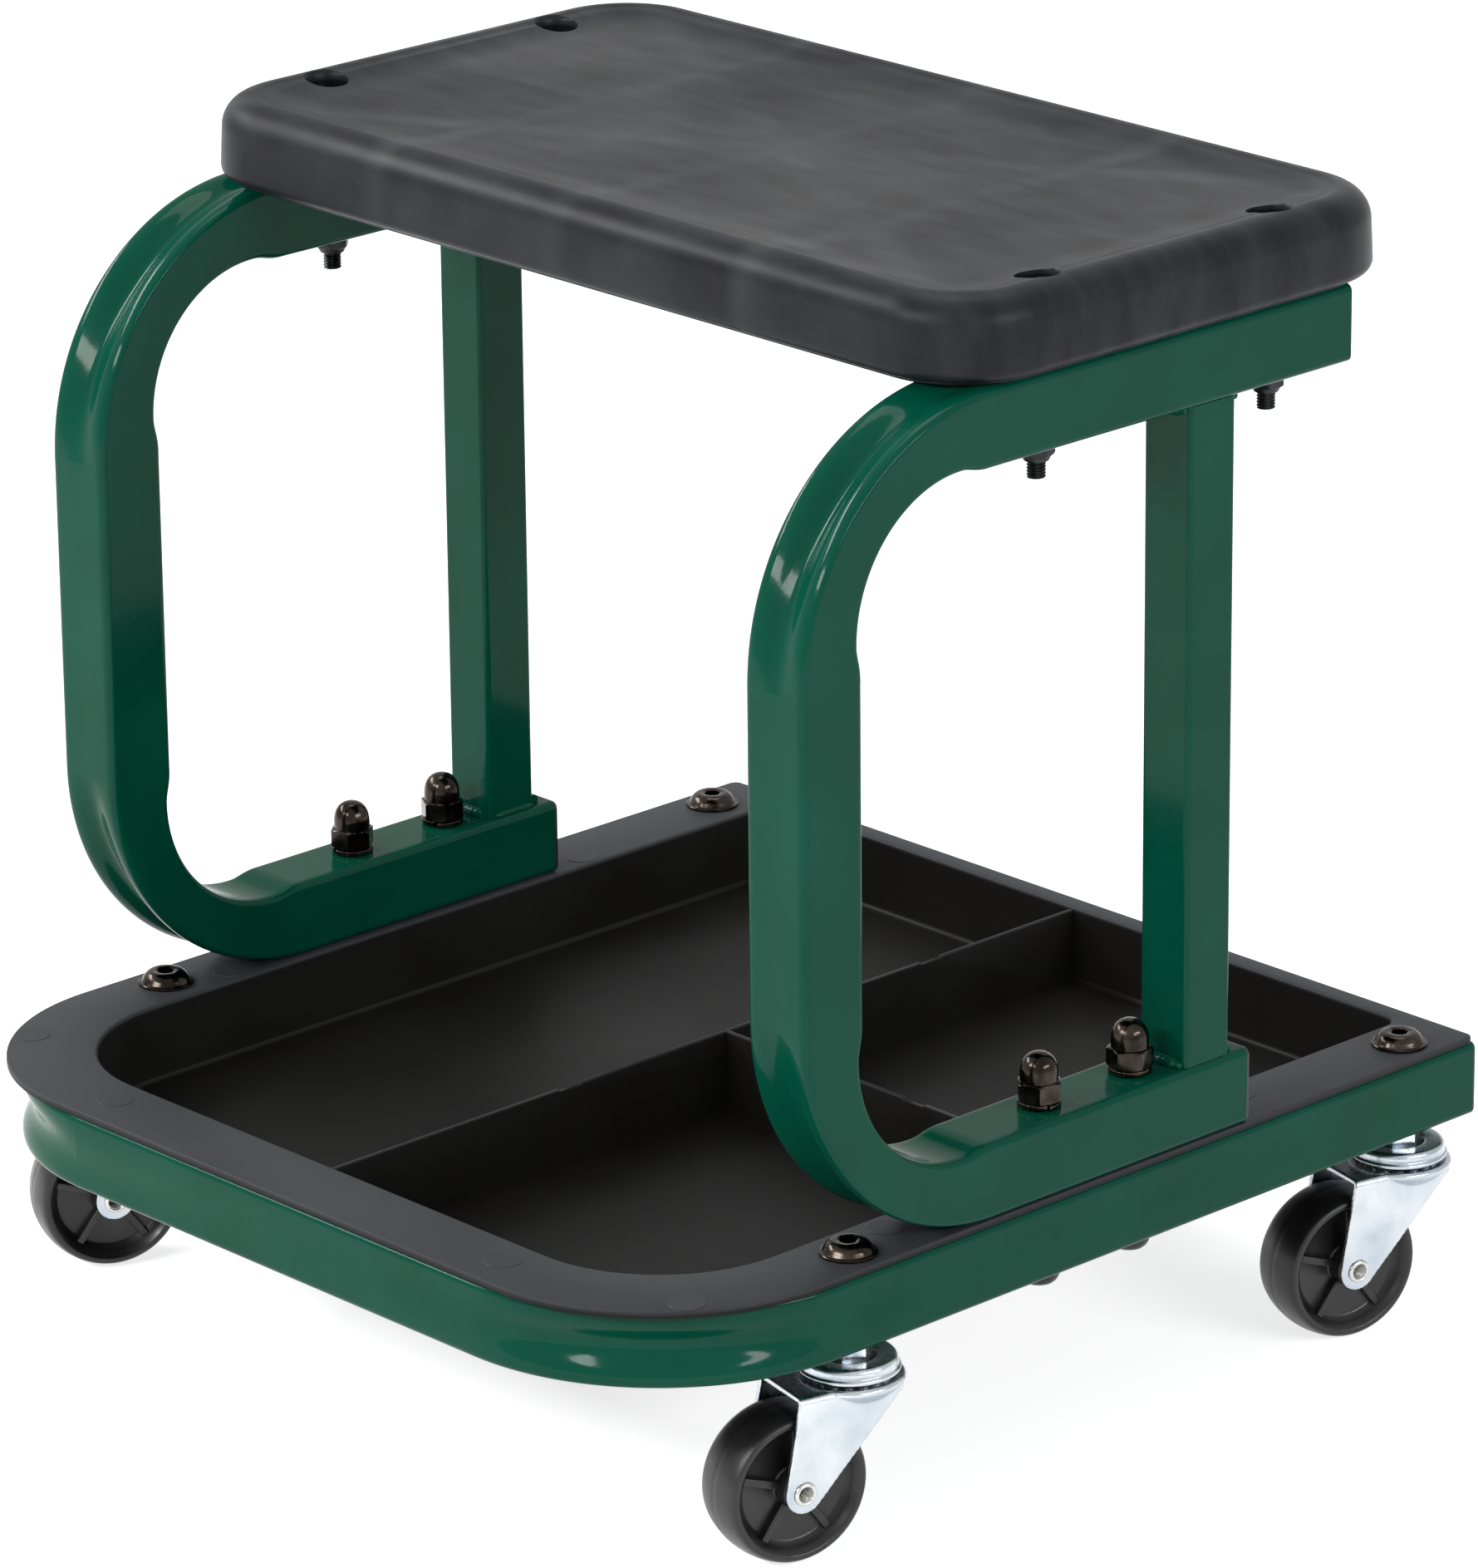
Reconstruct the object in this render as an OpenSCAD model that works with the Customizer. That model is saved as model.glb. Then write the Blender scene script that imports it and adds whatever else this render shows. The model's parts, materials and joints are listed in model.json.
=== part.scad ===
// Creeper seat: a moulded seat on two bent tube frames, a parts tray in a bent tube base, four swivel casters.
// The front faces -Y, the right side +X, and the floor is Z = 0 under the middle of the base. Units are mm.

/* [Base] */
// Width over the two side rails
base_w = 347; // [300:1:420]
// Depth from the front rail to the rear ends of the side rails
base_d = 362; // [330:1:440]
// Side of the large square tube
tube = 25; // [20:1:30]
// Wall of the large square tube
tube_wall = 1.5; // [1:0.1:2.5]
// Rounding of the large tube's long edges
tube_edge = 2.4; // [1.6:0.1:4]
// Outside radius of the tube bends
bend_r = 80; // [70:1:95]
// Radius of the inner wall where the bend has pressed it in
crease_r = 43.3; // [36:0.1:50]
// How far that inner wall lies outside the straight one at both ends of the bend
crease_over = 1.6; // [0.5:0.1:3]
// Depth of the hollow in the outer wall at the middle of a bend
groove_depth = 4.2; // [1:0.1:5]
// Flat land beside that hollow
groove_land = 3.2; // [2.6:0.1:6]
// Thickness of the flat bar between the rail ends
bar_t = 4; // [2:0.5:5]
// Flange thickness of the plugs in the rail ends
rail_cap_t = 1.2; // [0.8:0.1:3]

/* [Tray] */
// Thickness of the flange that lies on the tube
flange_t = 2.15; // [1.5:0.05:4]
// Corner radius of the flange at the front
flange_front_r = 68; // [40:1:80]
// Corner radius of the flange at the rear
flange_rear_r = 3; // [1:0.5:10]
// How far the flange edge stays inside the tube's outer faces
flange_inset = 0.4; // [0:0.1:2]
// Flange width along the sides and the front
flange_side = 27; // [26.6:0.1:36]
// Flange width along the rear
flange_rear = 7.4; // [7:0.1:14]
// Corner radius of the tub at the front
tub_front_r = 48; // [30:1:60]
// Corner radius of the tub at the rear
tub_rear_r = 6; // [3:0.5:12]
// Inside depth of the tub below the flange's top face
tub_depth = 26; // [18:0.5:26]
// Wall of the tub
tub_wall = 1.6; // [1:0.1:1.8]
// Floor thickness of the tub
tub_floor = 2; // [1.2:0.1:3]
// Thickness of the dividers
divider_t = 1.6; // [1:0.1:3]
// How far the divider tops lie below the flange's top face
divider_drop = 0.8; // [0.5:0.1:6]
// Place of the long divider from the middle
divider_x = -1.5; // [-40:0.5:40]
// Place of the cross divider from the middle
divider_y = 14.5; // [-40:0.5:60]
// Length of the shallow notches in the divider tops
notch_l = 10; // [5:0.5:20]
// Depth of those notches
notch_d = 0.7; // [0.3:0.1:3]

/* [Side frames] */
// Height of a side frame over its two legs
frame_h = 264.3; // [240:0.1:320]
// How far the frames' front faces stand behind the base's front face
frame_setback = 63.7; // [50:0.1:80]
// Length of the upper leg from the frame's front face
upper_l = 233.7; // [215:0.1:260]
// Length of the lower leg from the frame's front face, with its plug
lower_l = 192.3; // [188:0.1:215]
// Flange thickness of the plugs in the lower legs
leg_cap_t = 1.6; // [0.8:0.1:3]
// Side of the square tube of the posts
post = 20; // [16:1:22]
// Wall of the post tube
post_wall = 1.5; // [1:0.1:2.5]
// Rounding of the post's long edges
post_edge = 1.8; // [1.6:0.1:3]
// How far the posts' rear faces stand in front of the lower legs' ends
post_end = 7.9; // [2:0.1:20]
// How far the posts stand outward from the middle of the frame tube
post_shift = 1; // [0:0.1:2]
// Leg of the weld beads on the tube's long faces
bead = 3; // [1.5:0.1:4]

/* [Seat] */
// How far the seat stands out over the base on each side
seat_over = 4.9; // [2:0.1:20]
// Width of the seat from front to rear
seat_w = 197.4; // [180:0.2:220]
// Height of the seat's shell from its lower edge to the rim of the dish
seat_h = 26; // [24:0.5:36]
// Corner radius of the seat in plan
seat_r = 33; // [26:0.5:45]
// Rounding of the seat's top edge
seat_round = 10; // [5:0.5:12]
// Rounding of the seat's lower edge
lip_round = 2.4; // [1:0.1:4]
// Wall of the seat's skirt and top
seat_wall = 3; // [2:0.1:4]
// Width of the border between the seat's edge and the dish
border = 14; // [12:0.5:18]
// Depth of the dish
dish_depth = 2.6; // [1:0.1:4]
// Width of the dish's sloping side
dish_slope = 16; // [8:0.5:18]
// Height of the ring below the shell that rests on the legs
ring_h = 1.5; // [1:0.1:4]
// Inset of that ring from the seat's edge
ring_inset = 5; // [4.5:0.1:8]
// Wall of the ring
ring_t = 2.4; // [1.5:0.1:4]
// Thickness of the ribs under the seat
rib_t = 2.2; // [1.2:0.1:4]
// How far the ribs end above the shell's lower edge
rib_lift = 4; // [2:0.5:10]
// Distance between the cross ribs
rib_pitch = 84; // [60:1:90]
// Distance of the long ribs from the middle
rib_side = 33; // [20:1:40]
// Diameter of the deep bolt holes
well_d = 13.6; // [12.6:0.1:15]
// Wall round the deep bolt holes
well_wall = 2.6; // [1.8:0.1:3.5]
// Height of the seat above the legs where the bolt heads rest
well_floor = 8.3; // [4:0.1:12]
// Front row of the seat bolts behind the frame's front face
seat_bolt_setback = 109.1; // [104:0.1:115]
// Distance between the two rows of seat bolts
seat_bolt_pitch = 100; // [80:1:106]

/* [Fasteners] */
// Diameter of the seat bolts
small_d = 6; // [5:0.5:6]
// Hexagon of the seat bolts and their nuts, across the flats
small_af = 10; // [8:0.5:10]
// Height of the seat bolts' heads
small_head_h = 4; // [3:0.1:5]
// Height of the lock nuts
small_nut_h = 6.5; // [4:0.1:8]
// How far the seat bolts stand out below their nuts
small_end = 5.2; // [1:0.1:8]
// Diameter of the frame bolts and the caster stems
big_d = 8; // [6:0.5:8.5]
// Hexagon of the cap nuts, across the flats
big_af = 13; // [11:0.5:14]
// Height of the cap nuts' hexagon
big_nut_h = 6.5; // [5:0.1:8]
// Diameter of the cap nuts' dome
dome_d = 12; // [10:0.1:12.6]
// Height of a cap nut with its dome
cap_nut_h = 15.6; // [13:0.1:18]
// Outside diameter of the split spring washers
split_d = 13.8; // [12:0.1:15]
// Thickness of the split spring washers
split_t = 2.1; // [1.2:0.1:3]
// Gap in the split spring washers
split_gap = 0.9; // [0.4:0.1:2]
// Diameter of the round bolt heads below the rails
round_head_d = 13.4; // [12:0.1:16]
// Height of those heads
round_head_h = 6.4; // [4:0.1:8]
// Rear frame bolt in front of the lower legs' ends
frame_bolt_end = 41.3; // [20:0.1:60]
// Distance between the two frame bolts of a side
frame_bolt_pitch = 40; // [25:0.5:42]
// Diameter of the sleeve nuts' heads
sleeve_head_d = 18.2; // [15:0.1:22]
// Height of the sleeve nuts' heads
sleeve_head_h = 4.4; // [3:0.1:6]
// Height of the thin rim under those heads
sleeve_rim_h = 1; // [0.5:0.1:2]
// Diameter of the sleeve
sleeve_d = 10.4; // [9.9:0.1:12]
// Length of the sleeve below the flange's top face
sleeve_l = 13; // [8:0.5:16]
// Hexagon socket in the sleeve nuts, across the flats
socket_af = 5; // [3:0.5:6]
// Depth of that socket
socket_d = 2.6; // [1.5:0.1:4]

/* [Casters] */
// Diameter of the wheels
wheel_d = 50; // [40:1:50]
// Width of the wheels over the rims
wheel_w = 20.2; // [16:0.2:20.2]
// How much smaller the tread's radius is at the rims
crown = 1.8; // [0.5:0.1:3]
// Thickness of the rim
rim_t = 2; // [1.2:0.1:4]
// Depth of the wheel's side recess
recess_d = 3.6; // [2:0.1:6]
// Radius of the recess floor
recess_r = 19.2; // [15:0.1:20]
// Diameter of the hub
hub_d = 12.4; // [10:0.1:16]
// How far the hub stands out beyond the rims on each side
hub_out = 0.5; // [0.2:0.1:1]
// Depth of the pockets between the ribs below the recess floor
pocket_d = 4; // [1:0.1:5]
// Thickness of the wheel's ribs
spoke_t = 2.6; // [1.5:0.1:5]
// Height from the floor to the underside of the rails
caster_h = 67.2; // [64:0.1:80]
// Distance of the axle behind the swivel axis
trail = 23; // [20:0.1:26]
// Sheet thickness of the fork
sheet = 1.8; // [1.2:0.1:2.2]
// Width over the fork's legs
fork_w = 25.8; // [25:0.1:30]
// Radius of the fork's round crown
crown_r = 17.5; // [16:0.1:20]
// Radius of the crown's lower edge
crown_foot_r = 13.5; // [12.4:0.1:15]
// Height of the crown with its skirt
skirt_h = 5.6; // [4:0.1:7]
// How far below the fork's top face the legs' leading edges leave the crown
lead_drop = 3.5; // [2.5:0.1:8]
// Length of the fork's top plate behind the swivel axis
plate_l = 24; // [20:0.1:28]
// Outside radius of the folds between the top plate and the legs
fold_r = 2.4; // [2:0.1:4]
// Height of the fork's top face above the floor
fork_h = 56.1; // [55:0.1:60]
// Radius of the leg ends round the axle
leg_end_r = 6.5; // [5.5:0.1:9]
// Diameter of the tubular rivet
rivet_d = 6.4; // [5:0.1:7]
// Bore of the tubular rivet
rivet_bore = 5; // [3:0.1:5.4]
// Diameter of the rivet's flared ends
flare_d = 7.6; // [7.2:0.1:10]
// Height of the rivet's flared ends
flare_h = 0.9; // [0.5:0.1:1.5]
// Radius of the upper ball race
race_r = 16; // [14:0.1:18]
// Gap between the race's lip and the fork
lip_gap = 1.1; // [0.4:0.1:2]
// Height of the race from its lip to the top of the dome
race_h = 4.6; // [4:0.1:6]
// Width of the lip outside the dome's side
race_lip = 0.8; // [0.2:0.1:1.2]
// Rounding of the dome's shoulder
race_round = 1.6; // [1.3:0.1:2]
// How deep the race's middle is sunk below the dome
race_drop = 2.4; // [1:0.1:3]
// Sheet thickness of the race
race_t = 1.2; // [0.8:0.1:1.6]
// Radius of the ring of balls
ball_ring_r = 11.5; // [10:0.1:13]
// Radius of the sunken middle of the race
race_seat_r = 7.6; // [7.6:0.1:9]
// Diameter of the king pin
pin_d = 10; // [8:0.1:11]
// Diameter of the pin's foot plate below the crown
foot_d = 18; // [14:0.1:18.6]
// Thickness of the foot plate
foot_t = 1.5; // [1:0.1:2]
// Height of the riveted end below the foot plate
rivet_end_h = 1.2; // [0.5:0.1:2]
// Swivel axis of the front casters behind the base's front face
caster_front = 93; // [85:0.5:110]
// Swivel axis of the rear casters in front of the side rails' ends
caster_rear = 23; // [18:0.5:60]
// Hexagon of the caster stems, across the flats
stem_af = 13; // [10:0.5:15]
// Heading of the trailing wheel, front right caster, in degrees from -Y towards -X
turn_front_right = 13.5; // [-180:0.5:180]
// Heading of the trailing wheel, front left caster
turn_front_left = 24.3; // [-180:0.1:180]
// Heading of the trailing wheel, rear right caster
turn_rear_right = 13.5; // [-180:0.5:180]
// Heading of the trailing wheel, rear left caster
turn_rear_left = 18; // [-180:0.5:180]

/* [Hidden] */
// One overrun serves all cuts
over = 1;
// Gap round bolts and stems in their holes, on the radius
hole_gap = 0.3;
// Gap of a nut's bore round its thread, and of a running fit, on the radius
fit_gap = 0.05;
// Gap between the plugs and the tube bores, and between faces that only lie close
plug_gap = 0.15;
// Gap below the crown, and below and above the balls
run_gap = 0.2;
// Depth of the plugs in the tubes
plug_l = 9;
// Facets of long shallow arcs, and of large, middle and small rounds
arc_fn = 96;
big_fn = 48;
mid_fn = 32;
small_fn = 16;
hex_fn = 6;
// A hexagon's corner radius as a share of its width across the flats
hex_share = 0.5 / cos(30);
// Places of the notches along the two dividers, as shares of each free run
notch_shares = [0.29, 0.78];
cross_notch_share = 0.55;
// Ribs of a wheel, and the turn of the first one from the horizontal
spokes = 5;
spoke_turn = 18;

rail_z = caster_h;
flange_z = rail_z + tube;
flange_top = flange_z + flange_t;
rail_x = base_w / 2 - tube / 2;
front_y = -base_d / 2;
rear_y = base_d / 2;
frame_y = front_y + frame_setback;
frame_top = flange_top + frame_h;
upper_z = frame_top - tube;
lower_top = flange_top + tube;
post_y = frame_y + lower_l - post_end - post;
post_x = rail_x + post_shift;
seat_bolt_ys = [frame_y + seat_bolt_setback, frame_y + seat_bolt_setback + seat_bolt_pitch];
seat_y = frame_y + seat_bolt_setback + seat_bolt_pitch / 2;
seat_z = frame_top + ring_h;
seat_l = base_w + 2 * seat_over;
frame_bolt_y = frame_y + lower_l - frame_bolt_end;
frame_bolt_ys = [frame_bolt_y - frame_bolt_pitch, frame_bolt_y];
caster_ys = [front_y + caster_front, rear_y - caster_rear];
tub_x = base_w / 2 - flange_side;
tub_front_y = front_y + flange_side;
tub_rear_y = rear_y - flange_rear;
floor_z = flange_top - tub_depth;
well_z = frame_top + well_floor;
axle_z = wheel_d / 2;
fork_in = fork_w / 2 - sheet;
crown_z = fork_h - sheet;
race_z = fork_h + lip_gap;
race_top = race_z + race_h;
hex_z = race_top - race_drop;
ball_r = (race_top - race_t - fork_h) / 2 - run_gap;
// The origin is in the middle of the room that the part takes up. The front left wheel stands out beyond
// the base, so the middle of the base lies to the right of the origin.
wheel_reach = (trail + wheel_d / 2 - crown) * sin(turn_front_left) + wheel_w / 2 * cos(turn_front_left);
mid_x = (wheel_reach - crown_r) / 2;

// Every node is drawn about the middle of the base and then put in its place
module placed() translate([mid_x, 0, 0]) children();

// Section of a square tube, or of its bore where the inset is the wall
module tube_face(side, edge, inset = 0) {
    clear_side = side - 2 * inset;
    if (inset > 0) {
        square(clear_side, center = true);
    } else {
        square([clear_side, clear_side - 2 * edge], center = true);
        square([clear_side - 2 * edge, clear_side], center = true);
        for (x = [-1, 1], y = [-1, 1])
            translate([x, y] * (clear_side / 2 - edge)) circle(edge, $fn = small_fn);
    }
}

// A quarter bend of the large tube about the origin, from +X round to +Y. Bending has pressed the inner
// wall in along a tighter arc and left a hollow in the outer wall that runs out at both ends.
module tube_bend(inset = 0) {
    inner_r = bend_r - tube;
    crease_shift = inner_r + crease_over - crease_r;
    groove_half = tube / 2 - groove_land;
    groove_r = (groove_half * groove_half + groove_depth * groove_depth) / (2 * groove_depth);
    mouth = bend_r + hole_gap;
    bed = bend_r - groove_depth;
    groove_shift = (mouth * mouth - bed * bed) / (2 * (sqrt(2) * bed - mouth));
    ring_r = bed + sqrt(2) * groove_shift + groove_r;
    difference() {
        rotate_extrude(angle = 90, $fn = big_fn) intersection() {
            translate([bend_r - tube / 2, 0]) tube_face(tube, tube_edge, inset);
            translate([0, -tube]) square([2 * bend_r, 2 * tube]);
        }
        translate([crease_shift, crease_shift]) rotate_extrude($fn = big_fn) difference() {
            translate([0, -tube / 2 - over]) square([crease_r + tube_edge + inset, tube + 2 * over]);
            translate([crease_r + tube / 2, 0]) tube_face(tube, tube_edge, inset);
        }
        translate([-groove_shift, -groove_shift]) rotate_extrude(angle = 90, $fn = big_fn)
            translate([ring_r, 0]) circle(groove_r + inset, $fn = mid_fn);
    }
}

// A straight run of the large tube along +Y, from one place to another
module tube_run(from, to, inset = 0) {
    translate([0, to, 0]) rotate([90, 0, 0])
        linear_extrude(to - from) tube_face(tube, tube_edge, inset);
}

// A U of the large tube with its web on the X axis and both legs along +Y. The bore overruns the ends.
module tube_u(width, leg_right, leg_left, inset = 0) {
    extra = inset > 0 ? over : 0;
    translate([-width / 2 + bend_r, tube / 2, 0]) rotate([0, 0, -90])
        tube_run(0, width - 2 * bend_r, inset);
    translate([width / 2 - bend_r, bend_r, 0]) rotate([0, 0, -90]) tube_bend(inset);
    translate([-width / 2 + bend_r, bend_r, 0]) rotate([0, 0, 180]) tube_bend(inset);
    translate([width / 2 - tube / 2, 0, 0]) tube_run(bend_r, leg_right + extra, inset);
    translate([-width / 2 + tube / 2, 0, 0]) tube_run(bend_r, leg_left + extra, inset);
}

// Plug for an open tube end that faces +Y at the origin: a thin flange and a hollow shank
module tube_plug(flange) {
    rotate([90, 0, 0]) {
        translate([0, 0, -flange]) linear_extrude(flange) tube_face(tube, tube_edge);
        linear_extrude(plug_l) difference() {
            square(tube - 2 * tube_wall - 2 * plug_gap, center = true);
            square(tube - 2 * tube_wall - 2 * plug_gap - 2 * leg_cap_t, center = true);
        }
    }
}

// The same piece on the right and, mirrored, on the left
module both_sides() {
    children();
    mirror([1, 0, 0]) children();
}

module holes(x, ys, z, height, r) {
    for (y = ys) translate([x, y, z]) cylinder(height, r, r, $fn = mid_fn);
}

// Base: the U of square tube with the holes for stems, sleeves and frame bolts
module base_frame() color([0.05, 0.36, 0.25]) placed() difference() {
    translate([0, front_y, rail_z + tube / 2])
        tube_u(base_w, base_d - rail_cap_t, base_d - rail_cap_t);
    translate([0, front_y, rail_z + tube / 2])
        tube_u(base_w, base_d - rail_cap_t, base_d - rail_cap_t, tube_wall);
    for (side = [-1, 1]) {
        holes(side * rail_x, caster_ys, rail_z - over, tube / 2, big_d / 2 + hole_gap);
        holes(side * rail_x, caster_ys, rail_z + tube / 2, tube / 2 + over, sleeve_d / 2 + hole_gap);
        holes(side * rail_x, frame_bolt_ys, rail_z - over, tube + 2 * over, big_d / 2 + hole_gap);
    }
}

// Flat bar welded between the side rails behind the tub
module back_bar() color([0.05, 0.36, 0.25]) placed() {
    bar_l = base_w - 2 * tube;
    translate([-bar_l / 2, rear_y - flange_inset - bar_t, rail_z]) cube([bar_l, bar_t, tube]);
}

module rail_plugs() color([0.1, 0.1, 0.1])
    placed() both_sides() translate([rail_x, rear_y - rail_cap_t, rail_z + tube / 2]) tube_plug(rail_cap_t);

// Plan outline with large front corners and small rear corners
module plan(half_w, y_front, y_rear, r_front, r_rear) {
    translate([-half_w, y_front + r_front]) square([2 * half_w, y_rear - y_front - r_front - r_rear]);
    translate([-half_w + r_front, y_front]) square([2 * (half_w - r_front), r_front + r_rear]);
    translate([-half_w + r_rear, y_rear - r_rear - r_front])
        square([2 * (half_w - r_rear), r_rear + r_front]);
    for (x = [-1, 1]) {
        translate([x * (half_w - r_front), y_front + r_front]) circle(r_front, $fn = big_fn);
        translate([x * (half_w - r_rear), y_rear - r_rear]) circle(r_rear, $fn = small_fn);
    }
}

// Tray: flange on the tube, tub inside it, one long and one cross divider
module tray() color([0.16, 0.16, 0.17]) placed() difference() {
    divider_top = flange_top - divider_drop;
    long_run = tub_rear_y - tub_front_y;
    cross_run = tub_x - divider_x;
    union() {
        translate([0, 0, flange_z]) linear_extrude(flange_t) difference() {
            plan(base_w / 2 - flange_inset, front_y + flange_inset, rear_y - flange_inset,
                flange_front_r, flange_rear_r);
            plan(tub_x, tub_front_y, tub_rear_y, tub_front_r, tub_rear_r);
        }
        translate([0, 0, floor_z - tub_floor]) linear_extrude(tub_depth + tub_floor - flange_t / 2)
            difference() {
                plan(tub_x + tub_wall, tub_front_y - tub_wall, tub_rear_y + tub_wall,
                    tub_front_r + tub_wall, tub_rear_r + tub_wall);
                plan(tub_x, tub_front_y, tub_rear_y, tub_front_r, tub_rear_r);
            }
        translate([0, 0, floor_z - tub_floor]) linear_extrude(tub_floor)
            plan(tub_x + tub_wall / 2, tub_front_y - tub_wall / 2, tub_rear_y + tub_wall / 2,
                tub_front_r + tub_wall / 2, tub_rear_r + tub_wall / 2);
        translate([divider_x - divider_t / 2, tub_front_y - tub_wall / 2, floor_z - tub_floor / 2])
            cube([divider_t, long_run + tub_wall, divider_top - floor_z + tub_floor / 2]);
        translate([divider_x, divider_y - divider_t / 2, floor_z - tub_floor / 2])
            cube([cross_run + tub_wall / 2, divider_t, divider_top - floor_z + tub_floor / 2]);
    }
    for (share = notch_shares)
        translate([divider_x - divider_t, tub_front_y + share * long_run, divider_top - notch_d])
            cube([2 * divider_t, notch_l, notch_d + over]);
    translate([divider_x + cross_notch_share * cross_run, divider_y - divider_t, divider_top - notch_d])
        cube([notch_l, 2 * divider_t, notch_d + over]);
    for (side = [-1, 1]) {
        holes(side * rail_x, caster_ys, flange_z - over, flange_t + 2 * over, sleeve_d / 2 + hole_gap);
        holes(side * rail_x, frame_bolt_ys, flange_z - over, flange_t + 2 * over, big_d / 2 + hole_gap);
    }
}

// Side frame: a C of square tube that is open to the rear, with holes for both sorts of bolts
module side_frame() difference() {
    translate([rail_x, frame_y, flange_top + frame_h / 2]) rotate([0, -90, 0])
        tube_u(frame_h, upper_l, lower_l - leg_cap_t);
    translate([rail_x, frame_y, flange_top + frame_h / 2]) rotate([0, -90, 0])
        tube_u(frame_h, upper_l, lower_l - leg_cap_t, tube_wall);
    holes(rail_x, frame_bolt_ys, flange_top - over, tube + 2 * over, big_d / 2 + hole_gap);
    holes(rail_x, seat_bolt_ys, upper_z - over, tube + 2 * over, small_d / 2 + hole_gap);
}

module side_frame_right() color([0.05, 0.4, 0.28]) placed() side_frame();

module side_frame_left() color([0.05, 0.4, 0.28]) placed() mirror([1, 0, 0]) side_frame();

// Post: the smaller square tube between the two legs, square cut at both ends
module post_tube() translate([post_x, post_y + post / 2, lower_top])
    linear_extrude(upper_z - lower_top) difference() {
        tube_face(post, post_edge);
        tube_face(post, post_edge, post_wall);
    }

module post_right() color([0.04, 0.34, 0.24]) placed() post_tube();

module post_left() color([0.04, 0.34, 0.24]) placed() mirror([1, 0, 0]) post_tube();

// A quarter-round bead along +X with its corner on the X axis, lying on Z = 0 against the plane Y = 0
module bead_run(length, r) {
    rotate([90, 0, 90]) linear_extrude(length) intersection() {
        translate([-r, 0]) square(r);
        circle(r, $fn = small_fn);
    }
}

// Beads at the foot of a post: front, rear and on the inner side
module post_beads() {
    run = post - 2 * post_edge;
    translate([post_x - run / 2, post_y, 0]) bead_run(run, bead);
    translate([post_x + run / 2, post_y + post, 0]) rotate([0, 0, 180]) bead_run(run, bead);
    translate([post_x - post / 2, post_y + post / 2 + run / 2, 0]) rotate([0, 0, -90])
        bead_run(run, bead / 2);
}

module weld_beads() color([0.06, 0.44, 0.3]) placed() both_sides() {
    translate([0, 0, lower_top]) post_beads();
    translate([0, 0, upper_z]) mirror([0, 0, 1]) post_beads();
}

module leg_plugs() color([0.1, 0.1, 0.1])
    placed() both_sides() translate([rail_x, frame_y + lower_l - leg_cap_t, flange_top + tube / 2])
        tube_plug(leg_cap_t);

// A block with a rounded rectangle as its plan. The child is its side profile in a corner,
// with x running from the corner's centre to the outside and y as the height.
module profiled_block(l, w, r, low, high) {
    for (x = [-1, 1], y = [-1, 1])
        translate([x * (l / 2 - r), y * (w / 2 - r), 0])
            rotate([0, 0, x > 0 ? (y > 0 ? 0 : -90) : (y > 0 ? 90 : 180)])
                rotate_extrude(angle = 90, $fn = mid_fn) children();
    for (turn = [0, 180]) {
        rotate([0, 0, turn]) translate([l / 2 - r, w / 2 - r, 0]) rotate([90, 0, 0])
            linear_extrude(w - 2 * r) children();
        rotate([0, 0, turn + 90]) translate([w / 2 - r, l / 2 - r, 0]) rotate([90, 0, 0])
            linear_extrude(l - 2 * r) children();
    }
    translate([r - l / 2, r - w / 2, low]) cube([l - 2 * r, w - 2 * r, high - low]);
}

// Rounded rectangle of the seat's plan, drawn in by an inset
module seat_plan(inset) {
    r = seat_r - inset;
    square([seat_l - 2 * inset, seat_w - 2 * seat_r], center = true);
    square([seat_l - 2 * seat_r, seat_w - 2 * inset], center = true);
    for (x = [-1, 1], y = [-1, 1])
        translate([x * (seat_l / 2 - seat_r), y * (seat_w / 2 - seat_r)]) circle(r, $fn = mid_fn);
}

// Side profile of the seat's shell: round lower lip, upright skirt, large round at the top
module skirt_profile() {
    square([seat_r - lip_round, seat_h - seat_round]);
    translate([0, lip_round]) square([seat_r, seat_h - seat_round - lip_round]);
    square([seat_r - seat_round, seat_h]);
    translate([seat_r - lip_round, lip_round]) circle(lip_round, $fn = small_fn);
    translate([seat_r - seat_round, seat_h - seat_round]) circle(seat_round, $fn = mid_fn);
}

// Side profile of the dish, hung from the rim: a flat bed and a side that curves up to the rim. The arc's
// lowest point lies a little below the bed, because faces that only touch there wouldn't close.
module dish_profile() {
    dish_r = seat_r - border;
    slope_r = (dish_slope * dish_slope + dish_depth * dish_depth) / (2 * dish_depth);
    translate([0, -dish_depth]) square([dish_r - dish_slope, dish_depth + over]);
    intersection() {
        translate([dish_r - dish_slope, slope_r - dish_depth - fit_gap]) circle(slope_r, $fn = arc_fn);
        translate([0, -dish_depth]) square([dish_r, dish_depth]);
    }
    square([dish_r, over]);
}

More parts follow.
